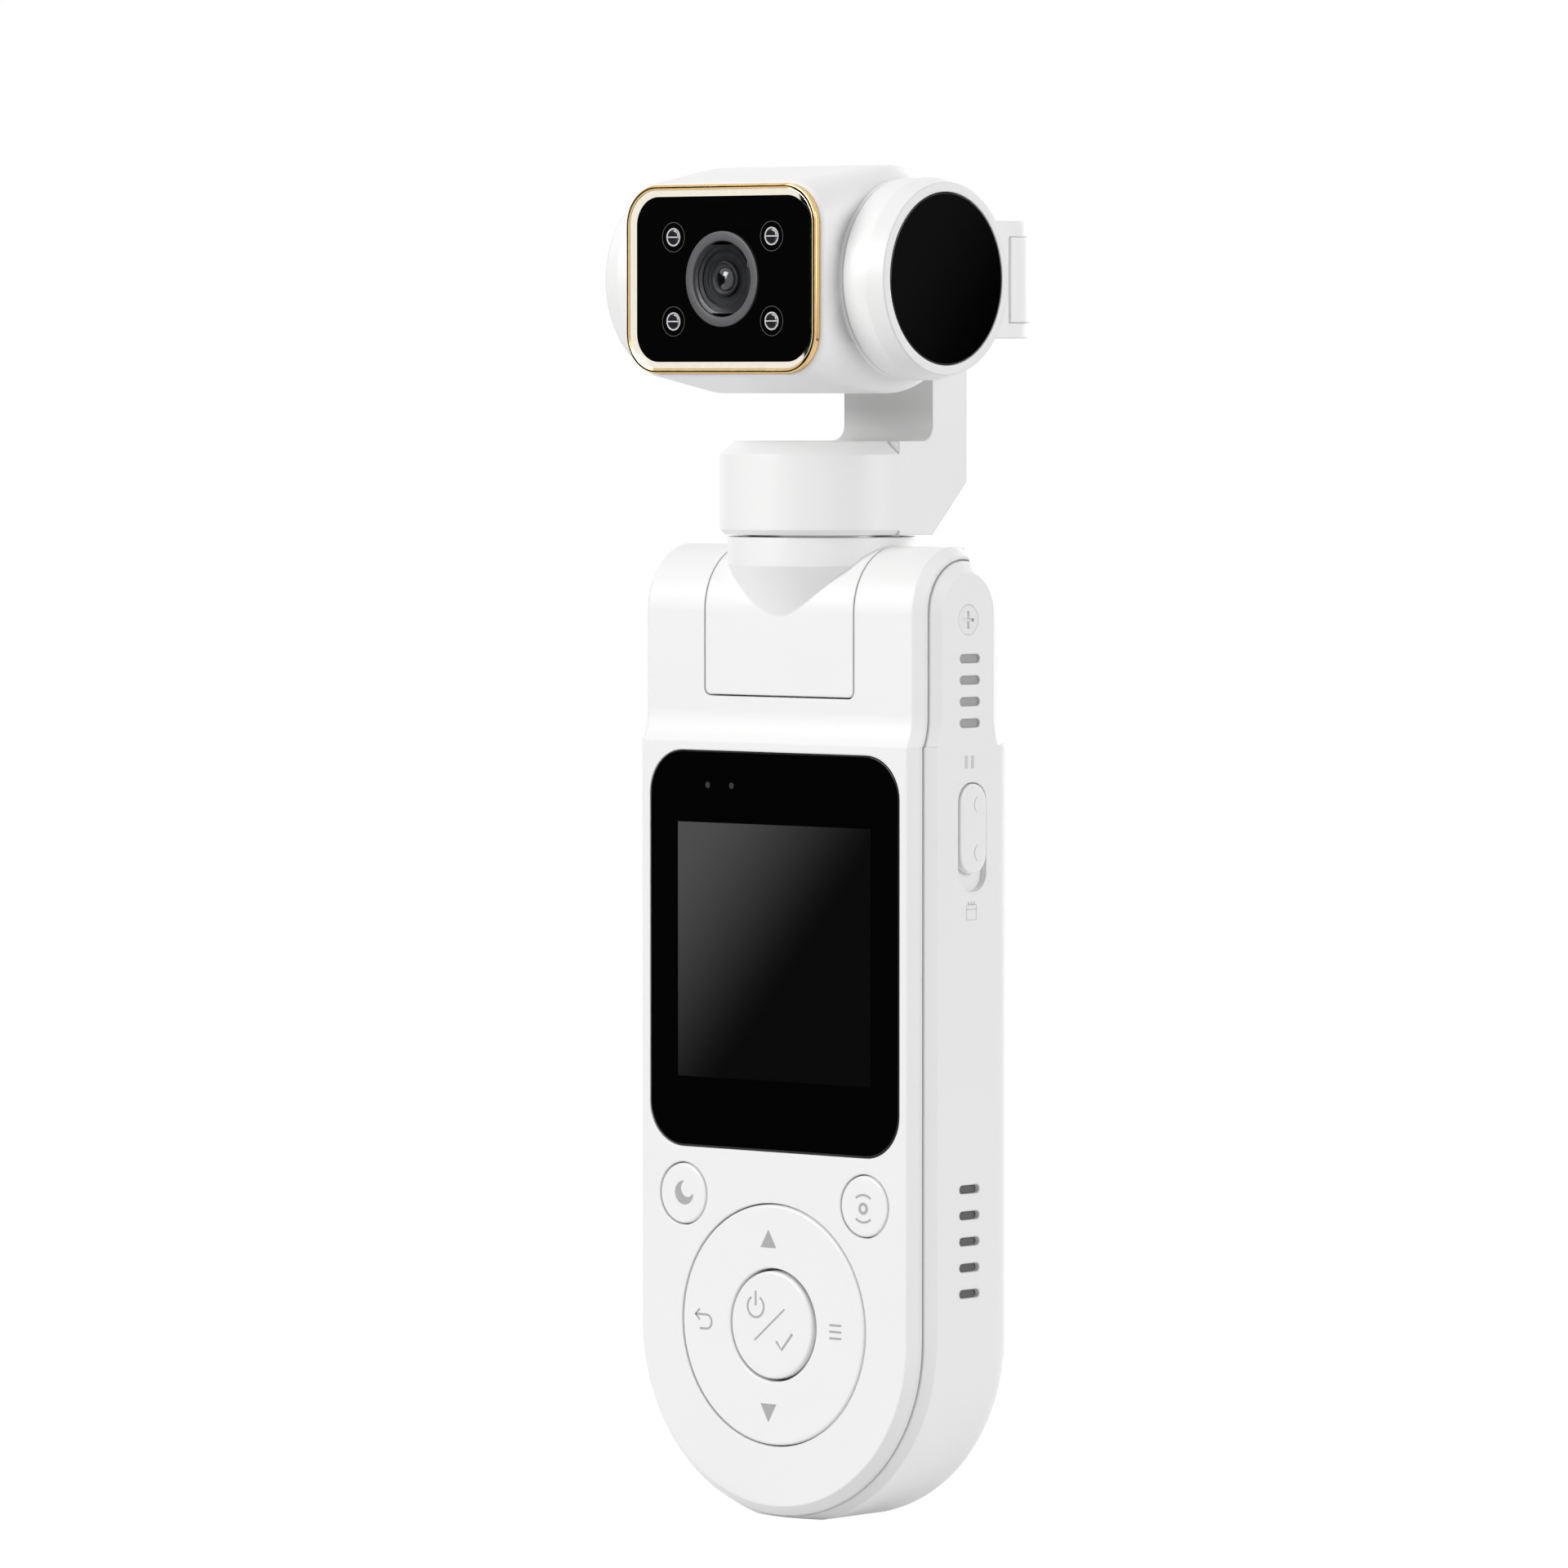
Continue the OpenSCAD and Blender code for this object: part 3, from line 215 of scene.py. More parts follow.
WORLD_LIGHT = 0.56
world = bpy.data.worlds.new("studio_world")
scene.world = world
world.use_nodes = True
world_nodes = world.node_tree.nodes
lit_world = world_nodes["Background"]
lit_world.inputs["Strength"].default_value = WORLD_LIGHT
seen_world = world_nodes.new("ShaderNodeBackground")
for sky in (lit_world, seen_world):
    sky.inputs["Color"].default_value = (1, 1, 1, 1)
world.node_tree.links.new(
    background(world.node_tree, lit_world.outputs[0], seen_world.outputs[0]),
    world_nodes["World Output"].inputs[0])

FLOOR_HALF = 1.5
FLOOR_SHARE = 0.93
FLOOR_TONE = 0.72
FLOOR_GLOW = 1.04
floor_mesh = bpy.data.meshes.new("studio_floor")
floor_mesh.from_pydata(
    [(x * FLOOR_HALF, y * FLOOR_HALF, 0) for x, y in ((-1, -1), (1, -1), (1, 1), (-1, 1))],
    [], [(0, 1, 2, 3)])
floor = bpy.data.objects.new("studio_floor", floor_mesh)
scene.collection.objects.link(floor)
floor_paint = Paint("floor_paint", Base_Color=grey(FLOOR_TONE), Roughness=0.9)
floor_glow = floor_paint.node("Emission", None, {"Color": grey(1.0), "Strength": FLOOR_GLOW})
floor_path = floor_paint.node("LightPath", out="Is Camera Ray")
floor_gloss = floor_paint.node("LightPath", out="Is Glossy Ray")
floor_mix = floor_paint.node("MixShader", None, {
    0: floor_path.most(floor_gloss) * FLOOR_SHARE,
    1: Socket(floor_paint, floor_paint.shader.outputs[0]), 2: floor_glow})
floor_paint.tree.links.new(floor_mix.out, floor_paint.tree.nodes["Material Output"].inputs[0])
floor_mesh.materials.append(floor_paint.material)

# Name, place, height aimed at, side, power
SOFT_BOXES = [
    ("key_box", (-0.4, -0.84, 0.45), 0.07, 0.5, 7.0),
    ("side_box", (0.95, 0.32, 0.35), 0.07, 0.5, 3.9),
    ("top_box", (0.1, -0.1, 0.9), 0.09, 0.6, 0.2),
    ("back_box", (-0.1, 0.9, 0.4), 0.07, 0.5, 3.0),
]
for box_name, spot, aim_height, side, power in SOFT_BOXES:
    box_data = bpy.data.lights.new(box_name, "AREA")
    box_data.shape = "RECTANGLE"
    box_data.size = box_data.size_y = side
    box_data.energy = power
    box = bpy.data.objects.new(box_name, box_data)
    scene.collection.objects.link(box)
    stand_at(box, *aimed(spot, (0, 0, aim_height)), spot)

# Name, bearing from the front in degrees, distance, half width, height,
# whether gloss and glass find it, whether it shades
BLACK_CARDS = [
    ("left_card", 60, 0.28, 0.22, 0.2, True, True),
    ("back_card", -139, 0.4, 0.16, 0.2, True, False),
    ("front_card", -32, 0.45, 0.2, 0.3, False, True),
]
card_paint = Paint("card_black", Base_Color=grey(0.002), Roughness=1.0, Specular_IOR_Level=0.0)
for card_name, bearing, distance, half, height, mirrored, shading in BLACK_CARDS:
    out_way = np.array([-math.sin(math.radians(bearing)), -math.cos(math.radians(bearing))])
    card_side = np.array([-out_way[1], out_way[0]]) * half
    feet = [out_way * distance - card_side, out_way * distance + card_side]
    card_mesh = bpy.data.meshes.new(card_name)
    card_mesh.from_pydata(
        [(*feet[0], 0), (*feet[1], 0), (*feet[1], height), (*feet[0], height)], [], [(0, 1, 2, 3)])
    card_mesh.materials.append(card_paint.material)
    card = bpy.data.objects.new(card_name, card_mesh)
    card.visible_camera = False
    card.visible_glossy = card.visible_transmission = mirrored
    card.visible_diffuse, card.visible_shadow = shading, False
    scene.collection.objects.link(card)

# White casing
# The covers, neck, bracket and head are injection-moulded ABS in a fine satin finish.
# Each carries its colour through, with a faint mould grain and slightly rounded edges.
GRAIN = 0.12 * MM
GRAIN_DEPTH = 0.0016 * MM
CLOUD = 14 * MM
SHADE = 0.985


def white_plastic(name, tone, rough, edge):
    """Satin white plastic: its tone falls to SHADE in wide clouds, and its grain breaks the gloss."""
    paint = Paint(name)
    cloud = paint.noise(CLOUD)
    grain = paint.noise(GRAIN, 3.0)
    paint.colour(paint.blend(cloud, tuple(part * SHADE for part in tone), tone))
    paint.rough(rough + (grain - 0.5) * 0.12 + (cloud - 0.5) * 0.05)
    paint.relief(grain, GRAIN_DEPTH, edge)
    return paint.material


casing_white = white_plastic("casing_white", (0.86, 0.86, 0.857), 0.36, 0.28 * MM)
key_white = white_plastic("key_white", (0.87, 0.87, 0.868), 0.3, 0.1 * MM)


def dress(material, *names):
    """Gives CAD nodes a material."""
    for name in names:
        mesh = cad_nodes[name].data
        mesh.materials.clear()
        mesh.materials.append(material)


dress(casing_white, "front_cover", "rear_shell", "hinge_block", "pan_bracket", "yoke_strip", "left_cap")

# Meshes
# Each new piece is one closed skin worked out on a grid of two parameters.
# Its object sits at the origin, and its place is in its mesh.
SMOOTH_DEGREES = 40
WELD = 1e-7
SLIVER = 1e-8


def quads(index):
    """Faces between the neighbours of a grid of vertex numbers."""
    corners = [index[:-1, :-1], index[1:, :-1], index[1:, 1:], index[:-1, 1:]]
    return np.stack(corners, -1).reshape(-1, 4).tolist()


def piece(name, points, body, material, nodes=(), smooth=SMOOTH_DEGREES):
    """Closed skin from points[i, j]: i runs along a path and j round a closed section.

    The path closes on itself where its first and last rows are the same, and is capped where not.
    """
    loop = np.allclose(points[0], points[-1])
    if loop:
        points = points[:-1]
    rows, cols = points.shape[:2]
    index = np.arange(rows * cols).reshape(rows, cols)
    if loop:
        index = np.vstack([index, index[:1]])
    index = np.hstack([index, index[:, :1]])
    faces = quads(index)
    if not loop:
        faces += [index[0, :-1].tolist(), index[-1, :-1][::-1].tolist()]
    return skin(name, points.reshape(-1, 3), faces, body, material, nodes, smooth)


def sealed(name, points, faces, material, weld=WELD, sliver=SLIVER, cuts=()):
    """Mesh from points in millimetres: merged, cut at planes across Y, and cleared of slivers.

    Each cut is (y, side), and the part on that side goes. The faces are turned alike.
    """
    mesh = bpy.data.meshes.new(name)
    mesh.from_pydata((np.asarray(points) * MM).tolist(), [], faces)
    work = bmesh.new()
    work.from_mesh(mesh)
    bmesh.ops.remove_doubles(work, verts=work.verts, dist=weld)
    for y, side in cuts:
        bmesh.ops.bisect_plane(
            work, geom=work.verts[:] + work.edges[:] + work.faces[:], dist=WELD,
            plane_co=(0, y * MM, 0), plane_no=(0, side, 0), clear_outer=True)
    bmesh.ops.dissolve_degenerate(work, edges=work.edges, dist=sliver)
    loose = [edge for edge in work.edges if not edge.link_faces]
    bmesh.ops.delete(work, geom=loose, context="EDGES")
    bmesh.ops.recalc_face_normals(work, faces=work.faces)
    work.to_mesh(mesh)
    work.free()
    mesh.shade_smooth()
    mesh.materials.append(material)
    return mesh


def placed(mesh, body, nodes=(), wall=0.0):
    """Object of a mesh on a body, given a wall inwards if it is open, and with level normals."""
    made = bpy.data.objects.new(mesh.name, mesh)
    scene.collection.objects.link(made)
    if wall:
        thick = made.modifiers.new("wall", "SOLIDIFY")
        thick.thickness = wall * MM
        thick.offset = -1
    level = made.modifiers.new("level", "WEIGHTED_NORMAL")
    level.keep_sharp = True
    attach(made, body)
    if nodes:
        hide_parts(*nodes)
    return made


def skin(name, points, faces, body, material, nodes=(), smooth=SMOOTH_DEGREES):
    """Closed mesh object on a body, shaded smooth up to an angle between its faces."""
    mesh = sealed(name, points, faces, material)
    mesh.set_sharp_from_angle(angle=math.radians(smooth))
    return placed(mesh, body, nodes)


SOFT_STEPS = 6
EDGE_SHARE = 0.45
TURNS = 97


def soften(corners, kept=None):
    """Closed section from corners (a, b) or (a, b, radius), each rounded by a parabola between two
    points that lie radius, or EDGE_SHARE of the edge if that is less, along its edges. Given kept,
    only the first corners are returned, and the others just lead the edges on."""
    radius = np.array([corner[2] if len(corner) > 2 else 0.0 for corner in corners])
    spots = np.array([corner[:2] for corner in corners], float)
    ends = []
    for shift in (1, -1):
        edge = np.roll(spots, shift, axis=0) - spots
        length = np.linalg.norm(edge, axis=1)
        ends.append(spots + (np.minimum(radius, EDGE_SHARE * length) / length)[:, None] * edge)
    t = np.linspace(0, 1, SOFT_STEPS)[None, :, None]
    rounded = ((1 - t) ** 2 * ends[0][:, None] + 2 * t * (1 - t) * spots[:, None] + t ** 2 * ends[1][:, None])
    return rounded[:kept].reshape(-1, 2)


def turned(section, centre, axis="y", turns=TURNS):
    """Section of (radius, distance) turned about an axis through centre:
    P(a, s) = centre + r(s) (cos a, sin a) + h(s) axis."""
    section = np.array(section, float)
    angle = np.linspace(0, 2 * math.pi, turns)[:, None]
    across = section[None, :, 0] * np.cos(angle), section[None, :, 0] * np.sin(angle)
    along = np.broadcast_to(section[None, :, 1], across[0].shape)
    order = (along, *across) if axis == "x" else (across[0], along, across[1])
    return np.stack(order, -1) + np.array(centre, float)


def round_path(half_w, half_h, corner, steps=14):
    """Rounded rectangle as a closed path, and its outward directions."""
    angle = np.linspace(0, math.pi / 2, steps)
    turn = np.concatenate([angle + k * math.pi / 2 for k in range(4)])
    out = np.stack([np.cos(turn), np.sin(turn)], -1)
    side = np.repeat([[1, 1], [-1, 1], [-1, -1], [1, -1]], steps, axis=0)
    path = side * [half_w - corner, half_h - corner] + corner * out
    return np.vstack([path, path[:1]]), np.vstack([out, out[:1]])


def framed(section, half_w, half_h, corner, centre, axis="y", filled=False):
    """Section of (inset, distance) carried round a rounded rectangle:
    P(i, s) = path(i) - inset(s) out(i) + distance(s) axis. Filled, both its ends run to the middle."""
    path, out = round_path(half_w, half_h, corner)
    section = np.array(section, float)
    flat = path[:, None] - section[None, :, :1] * out[:, None]
    along = np.broadcast_to(section[None, :, 1], flat.shape[:2])
    if filled:
        middle = np.zeros_like(flat[:, :1])
        flat = np.concatenate([middle, flat, middle], axis=1)
        along = np.concatenate([along[:, :1], along, along[:, -1:]], axis=1)
    if axis == "y":
        grid = np.stack([flat[..., 0], along, flat[..., 1]], -1)
    else:
        grid = np.stack([along, flat[..., 0], flat[..., 1]], -1)
    return grid + np.array(centre, float)


# Display
# A 1.3-inch square panel lies behind one pane of black-backed glass with polished edges.
# Two small sensor windows sit above the picture area, whose colour holds a painted reflection.
GLASS_MID = (0, 0, 51.95)
GLASS_HALF = (15.1, 18.25)
GLASS_CORNER = 4
GLASS_FRONT = -6.7
GLASS_BACK = -5.8
PICTURE_HALF = 11.7
PICTURE_LOW = 40.15
PICTURE_HIGH = 63.6
PICTURE_MID = (PICTURE_LOW + PICTURE_HIGH) / 2
PICTURE_HALF_H = (PICTURE_HIGH - PICTURE_LOW) / 2
PICTURE_EDGE = 0.08
SHEEN_SLOPE = 0.85
SHEEN_FROM, SHEEN_TO = -66.0, -40.0
PANE_BLACK = 0.0012
PICTURE_REFLECTION_GREY = 0.075
SENSOR_DOTS = [(-8.04, 67.06), (-5.13, 67.06)]
DOT_R = 0.28
DOT_EDGE = 0.12

display_paint = Paint("display_pane", Roughness=0.04, Specular_IOR_Level=0.3)
across, _, height = display_paint.axes()
in_picture = (abs(across).below(PICTURE_HALF, PICTURE_EDGE)
              * abs(height - PICTURE_MID).below(PICTURE_HALF_H, PICTURE_EDGE))
# Painted reflection: the picture area's colour lightens in a soft diagonal band towards its top left.
painted_reflection = (across - height * SHEEN_SLOPE).below((SHEEN_FROM + SHEEN_TO) / 2, SHEEN_TO - SHEEN_FROM)
dots = 0.0
for dot_x, dot_z in SENSOR_DOTS:
    reach = display_paint.node("VectorMath", {"operation": "DISTANCE"}, {
        0: display_paint.place, 1: (dot_x * MM, GLASS_FRONT * MM, dot_z * MM)}, out=1)
    dots = reach.below(DOT_R * MM, DOT_EDGE * MM) + dots
pane_with_reflection = display_paint.blend(in_picture * (0.03 + 0.97 * painted_reflection), grey(PANE_BLACK), grey(PICTURE_REFLECTION_GREY))
display_paint.colour(display_paint.blend(dots, pane_with_reflection, (0.05, 0.045, 0.045)))
display_paint.relief(display_paint.noise(0.4 * MM), 0.0001 * MM)
pane_section = soften([(0, GLASS_FRONT, 0.18), (0, GLASS_BACK), (1.5, GLASS_BACK), (1.5, GLASS_FRONT)], 3)
piece("display_pane", framed(pane_section, *GLASS_HALF, GLASS_CORNER, GLASS_MID, filled=True),
      "handle", display_paint.material, ["display_glass"])

# Keys
# The centre key, the rocking direction ring and two small keys are moulded white plastic.
# Their edges are rounded, and they stand a hair proud of the cover in close holes.
PAD_MID = (0, 0, 17.8)
PAD_FRONT = -6.78
PAD_BACK = -4.5
PAD_FLANGE = -5.0
PAD_SECTION = [
    (5.2, PAD_BACK), (5.2, PAD_FRONT, 0.22), (11.05, PAD_FRONT, 0.34), (11.05, PAD_FLANGE),
    (11.65, PAD_FLANGE), (11.65, PAD_BACK)]
OK_FRONT = -6.95
OK_SECTION = [
    (0, OK_FRONT), (4.95, OK_FRONT, 0.34), (4.95, -4.25), (5.6, -4.25), (5.6, -3.7), (0, -3.7)]
KEY_SECTION = [
    (0, PAD_FRONT), (2.8, PAD_FRONT, 0.3), (2.8, -5.25), (3.4, -5.25), (3.4, -4.75),
    (1.5, -4.75), (1.5, -3.7), (0, -3.7)]
NIGHT_MID = (-11, 0, 29.3)
TRACK_MID = (11, 0, 29.3)
for key_name, section, key_mid, body, node in (
        ("direction_ring", PAD_SECTION, PAD_MID, "pad", "direction_pad"),
        ("centre_key", OK_SECTION, PAD_MID, "ok_key", "ok_button"),
        ("night_key", KEY_SECTION, NIGHT_MID, "night_key", "night_button"),
        ("track_key", KEY_SECTION, TRACK_MID, "track_key", "track_button")):
    piece(key_name, turned(soften(section), key_mid), body, key_white, [node])

# Signs on the keys
# Each sign is a thin inlay of soft grey ink in the key's face.
# They are common signs: arrows, a moon, a power ring, a tick, menu bars and a target with arcs.
INK_PROUD = 0.02
INK_DEEP = 0.1


def clouded(name, size, low, high, depth, rough=0.0, spread=0.0, detail=2.0, **fixed):
    """Material whose colour, relief and, given a spread, gloss follow one noise."""
    paint = Paint(name, **fixed)
    cloud = paint.noise(size, detail)
    paint.colour(paint.blend(cloud, low, high))
    if spread:
        paint.rough(rough + cloud * spread)
    paint.relief(cloud, depth)
    return paint.material


sign_ink = clouded("sign_ink", 0.5 * MM, grey(0.36), grey(0.44), 0.004 * MM, Roughness=0.55)


def ribbon(path, half, front, axis="y"):
    """Flat inlay along a path: P(i) = path(i) +- half(i) normal(i), from just over front to inside."""
    path = np.array(path, float)
    slope = np.gradient(path, axis=0)
    if np.allclose(path[0], path[-1]):
        slope[0] = slope[-1] = path[1] - path[-2]
    slope /= np.linalg.norm(slope, axis=1)[:, None]
    side = np.stack([-slope[:, 1], slope[:, 0]], -1) * np.broadcast_to(half, len(path))[:, None]
    left, other = path + side, path - side
    away = -1 if axis == "y" else 1
    top = np.full(len(path), front + away * INK_PROUD)
    low = np.full(len(path), front - away * INK_DEEP)
    corners = [(left, top), (other, top), (other, low), (left, low)]
    order = [0, 2, 1] if axis == "y" else [2, 0, 1]
    return np.stack([np.column_stack([flat, depth])[:, order] for flat, depth in corners], 1)


def arc(mid, radius, start, end, steps=33):
    """Points on a circle from start to end degrees."""
    angle = np.radians(np.linspace(start, end, steps))
    return np.stack([mid[0] + radius * np.cos(angle), mid[1] + radius * np.sin(angle)], -1)


def signs(name, body, strokes, front, axis="y", material=None):
    """Joins a sign's strokes, each (path, half width), into one piece on a body."""
    points, faces = [], []
    for path, half in strokes:
        grid = ribbon(path, half, front, axis)
        loop = np.allclose(grid[0], grid[-1])
        grid = grid[:-1] if loop else grid
        rows = len(grid)
        index = np.arange(rows * 4).reshape(rows, 4) + len(points)
        points += grid.reshape(-1, 3).tolist()
        ends = np.vstack([index, index[:1]]) if loop else index
        faces += quads(np.hstack([ends, ends[:, :1]]))
        if not loop:
            faces += [index[0].tolist(), index[-1][::-1].tolist()]
    return skin(name, points, faces, body, material or sign_ink)


LINE = 0.1
ARROW = [0.95, 0.02]
moon_turn = np.linspace(0, math.pi, 25)
moon_path = arc((-10.7, 29.55), 0.92, 105, 345, 25)
signs("arrow_signs", "pad", [
    ([(-0.55, 24.87), (-0.55, 26.5)], ARROW),
    ([(-0.55, 10.53), (-0.55, 8.87)], ARROW),
], PAD_FRONT)
signs("return_sign", "pad", [
    (np.vstack([[(-9.45, 18.25)], arc((-8.15, 17.6), 0.65, 90, -90), [(-8.95, 16.95)]]), LINE),
    ([(-8.95, 18.75), (-9.5, 18.25), (-8.95, 17.75)], LINE),
], PAD_FRONT)
signs("menu_sign", "pad", [
    ([(6.85, 17.65 + rise), (8.25, 17.65 + rise)], LINE) for rise in (-0.6, 0, 0.6)], PAD_FRONT)
signs("power_sign", "ok_key", [
    (arc((-1.95, 19.4), 0.98, 122, 418), LINE),
    ([(-1.95, 19.5), (-1.95, 20.85)], LINE),
    ([(-2.1, 16.3), (1.55, 19.35)], 0.085),
    ([(0.55, 16.35), (1.2, 15.6), (2.5, 17.15)], LINE + 0.02),
], OK_FRONT)
signs("moon_sign", "night_key", [(moon_path, 0.02 + 0.42 * np.sin(moon_turn))], PAD_FRONT)
signs("target_sign", "track_key", [
    (arc((10.9, 29.1), 0.42, 0, 360), LINE * 1.4),
    (arc((10.9, 29.0), 1.35, 50, 130), LINE),
    (arc((10.9, 29.2), 1.35, 230, 310), LINE),
], PAD_FRONT)

# Side switch and its signs
# The slide knob runs in a shallow recess of the right wall, and two raised arcs give a grip.
# Faint grey signs mark its two places: two bars above and a card outline below.
KNOB_MID = (0, 0.57, 63.55)
KNOB_HALF = (1.85, 4.1)
KNOB_FRONT = 17.8
KNOB_BACK = 17.1
SIDE_FACE = 17.6
knob_section = soften([(0, KNOB_BACK), (0, KNOB_FRONT, 0.3), (1.7, KNOB_FRONT), (1.7, KNOB_BACK)], 2)
piece("knob_cap", framed(knob_section, *KNOB_HALF, 1.8, KNOB_MID, axis="x", filled=True),
      "side_switch", key_white, ["slide_knob"])
signs("knob_grips", "side_switch", [
    (arc((1.45, height), 0.75, 118, 242, 17), 0.07) for height in (65.75, 61.35)
], KNOB_FRONT + 0.04, axis="x", material=key_white)
faint_ink = clouded("faint_ink", 0.5 * MM, grey(0.58), grey(0.64), 0.003 * MM, Roughness=0.5)
signs("side_signs", "handle", [
    ([(-0.25, 69.05), (-0.25, 70.2)], 0.2), ([(0.6, 69.05), (0.6, 70.2)], 0.2),
    ([(-0.2, 56.65), (1.15, 56.65), (1.15, 55.3), (-0.2, 55.3), (-0.2, 56.65)], 0.05),
    ([(-0.2, 56.25), (1.15, 56.25)], 0.05),
    ([(0.1, 56.65), (0.1, 56.95)], 0.1), ([(0.48, 56.65), (0.48, 56.95)], 0.1),
    ([(0.86, 56.65), (0.86, 56.95)], 0.1),
], SIDE_FACE, axis="x", material=faint_ink)

# Vent cloth
# Fine grey cloth is stretched behind the slots of the upper vents and of the speaker.
# It keeps dust out, and it closes each slot a little under the wall's face.
VENT_HALF = (1.37, 0.38)
VENT_CORNER = 0.36
VENT_Y = 0.2
WEAVE = 34.0
CLOTH_T = 0.4


def vent_cloth(name, low, high, front, top, pitch, count):
    """Cloth of one colour in a row of slots, from the highest slot down."""
    paint = Paint(name, Roughness=0.85)
    _, weave_y, weave_z = paint.axes()
    weave = (weave_y * WEAVE).sine() * (weave_z * WEAVE).sine() * 0.5 + 0.5
    paint.colour(paint.blend(weave, grey(low), grey(high)))
    paint.relief(weave, 0.02 * MM)
    for number in range(count):
        middle = (0, VENT_Y, top - pitch * number)
        patch = framed([(0, front), (0, front - CLOTH_T)], *VENT_HALF, VENT_CORNER, middle, "x", True)
        piece(f"{name}_{number}", patch, "handle", paint.material)


vent_cloth("microphone_cloth", 0.33, 0.42, front=17.4, top=79.0, pitch=1.95, count=4)
vent_cloth("speaker_cloth", 0.1, 0.18, front=17.15, top=30.8, pitch=2.38, count=5)

# Head casing
# Two white half shells close round the camera block, from a flat front to round motor ends.
# A parting line runs round the back, and a low collar carries each end ring.
HEAD_MID = np.array([3.85, -6.72, 113.3])
FRONT_CORNER = (7.75, 4.85)
FRONT_ARC = 3.1
FRONT_PLANE = -10.4
FRONT_BALL = 0.9
END_PLANE = 9.55
END_ARC = 8.1
END_BALL = 2.2
END_HALF = 11.75
END_HOLE = 7.6
FACE_CUT = -11.1
PARTING = (4.2, 4.32)
SHELL_WALL = 1.2
SHELL_WELD = 2e-6
PAST_BACK = 20
COLLAR_R = 9.0
HEAD_RINGS = 180
HEAD_TURNS = 241


def head_surface():
    """Hull of the round front frame and the two round ends, point by point of its normal n:
    the farther of frame(n) + FRONT_BALL n and end(n) + END_BALL n along n, for n turned about X."""
    tilt = np.linspace(0, math.pi, HEAD_RINGS)[:, None]
    turn = np.linspace(0, 2 * math.pi, HEAD_TURNS)[None, :]
    n = np.stack([np.cos(tilt) + 0 * turn, np.sin(tilt) * np.cos(turn), np.sin(tilt) * np.sin(turn)], -1)
    way = np.sign(np.where(np.abs(n) < 1e-9, 0, n))
    across = np.maximum(np.hypot(n[..., 0], n[..., 2]), 1e-9)
    frame_mid = np.stack([
        FRONT_CORNER[0] * way[..., 0] + FRONT_ARC * n[..., 0] / across,
        np.full(across.shape, FRONT_PLANE),
        FRONT_CORNER[1] * way[..., 2] + FRONT_ARC * n[..., 2] / across], -1)
    round_end = np.stack([
        END_PLANE * way[..., 0],
        END_ARC * np.cos(turn) + 0 * tilt, END_ARC * np.sin(turn) + 0 * tilt], -1)
    front_reach = (frame_mid * n).sum(-1) + FRONT_BALL
    end_reach = (round_end * n).sum(-1) + END_BALL
    points = np.where(
        (front_reach > end_reach)[..., None], frame_mid + FRONT_BALL * n, round_end + END_BALL * n)
    holes = np.stack([np.ones_like(turn[0]), END_HOLE * np.cos(turn[0]), END_HOLE * np.sin(turn[0])], -1)
    points[0] = holes * [END_HALF, 1, 1]
    points[-1] = holes * [-END_HALF, 1, 1]
    return points


def cut_shell(name, low, high, nodes):
    """Part of the head's surface between two planes across Y, given its wall inwards."""
    points = head_surface()[:, :-1]
    rows, cols = points.shape[:2]
    index = np.arange(rows * cols).reshape(rows, cols)
    cuts = [(HEAD_MID[1] + low, -1), (HEAD_MID[1] + high, 1)]
    mesh = sealed(name, points.reshape(-1, 3) + HEAD_MID, quads(np.hstack([index, index[:, :1]])),
                  casing_white, SHELL_WELD, WELD, cuts)
    outward = [face.normal.dot(face.center - Vector(HEAD_MID * MM)) for face in mesh.polygons]
    if np.mean(outward) < 0:
        mesh.flip_normals()
    return placed(mesh, "head", nodes, SHELL_WALL)


cut_shell("head_front_shell", FACE_CUT, PARTING[0], ["head_shell"])
cut_shell("head_back_shell", PARTING[1], PAST_BACK, ["head_back"])
COLLAR_FOOT = END_HALF - 0.3
COLLAR_TOP = END_HALF + 0.47
COLLAR = [
    (END_HOLE, COLLAR_FOOT), (COLLAR_R, COLLAR_FOOT), (COLLAR_R, COLLAR_TOP, 0.12), (END_HOLE, COLLAR_TOP)]
for collar_name, way in (("right_collar", 1), ("left_collar", -1)):
    section = [(corner[0], way * corner[1], *corner[2:]) for corner in COLLAR]
    piece(collar_name, turned(soften(section), HEAD_MID, "x"), "head", casing_white)

# Gold trim and face glass
# A polished gold frame with a sloped inner edge holds the black glass of the camera's face. Its sloped inner
# edge is a paler cream gold, a painted highlight.
# The glass has one round hole, for the lens.
TRIM_HALF = (11.4, 8.5)
TRIM_CORNER = 3.65
TRIM_BACK = -10.25
LIP_W = 0.42
TRIM_SECTION = [
    (0, TRIM_BACK), (0, -11.6, 0.12), (0.22, -11.66, 0.12), (LIP_W, -11.58, 0.03),
    (LIP_W + 0.04, -11.62, 0.03), (1.08, -11.3, 0.04), (1.08, -11.2), (0.7, -11.2), (0.7, TRIM_BACK)]


def gold(name, low, high):
    """Polished gold plate with faint drawn streaks."""
    return clouded(name, 0.6 * MM, low, high, 0.0004 * MM, 0.07, 0.08, 4.0, Metallic=1.0)


trim_gold = gold("trim_gold", (0.72, 0.47, 0.18), (0.8, 0.55, 0.24))
# Painted highlight: the sloped inner edge gets a paler, cream gold in place of its reflections.
trim_bevel_highlight = gold("trim_bevel_highlight", (0.84, 0.78, 0.66), (0.92, 0.87, 0.76))
trim_object = piece("face_frame", framed(soften(TRIM_SECTION), *TRIM_HALF, TRIM_CORNER, HEAD_MID),
                    "head", trim_gold, ["face_trim"])
trim_object.data.materials.append(trim_bevel_highlight)
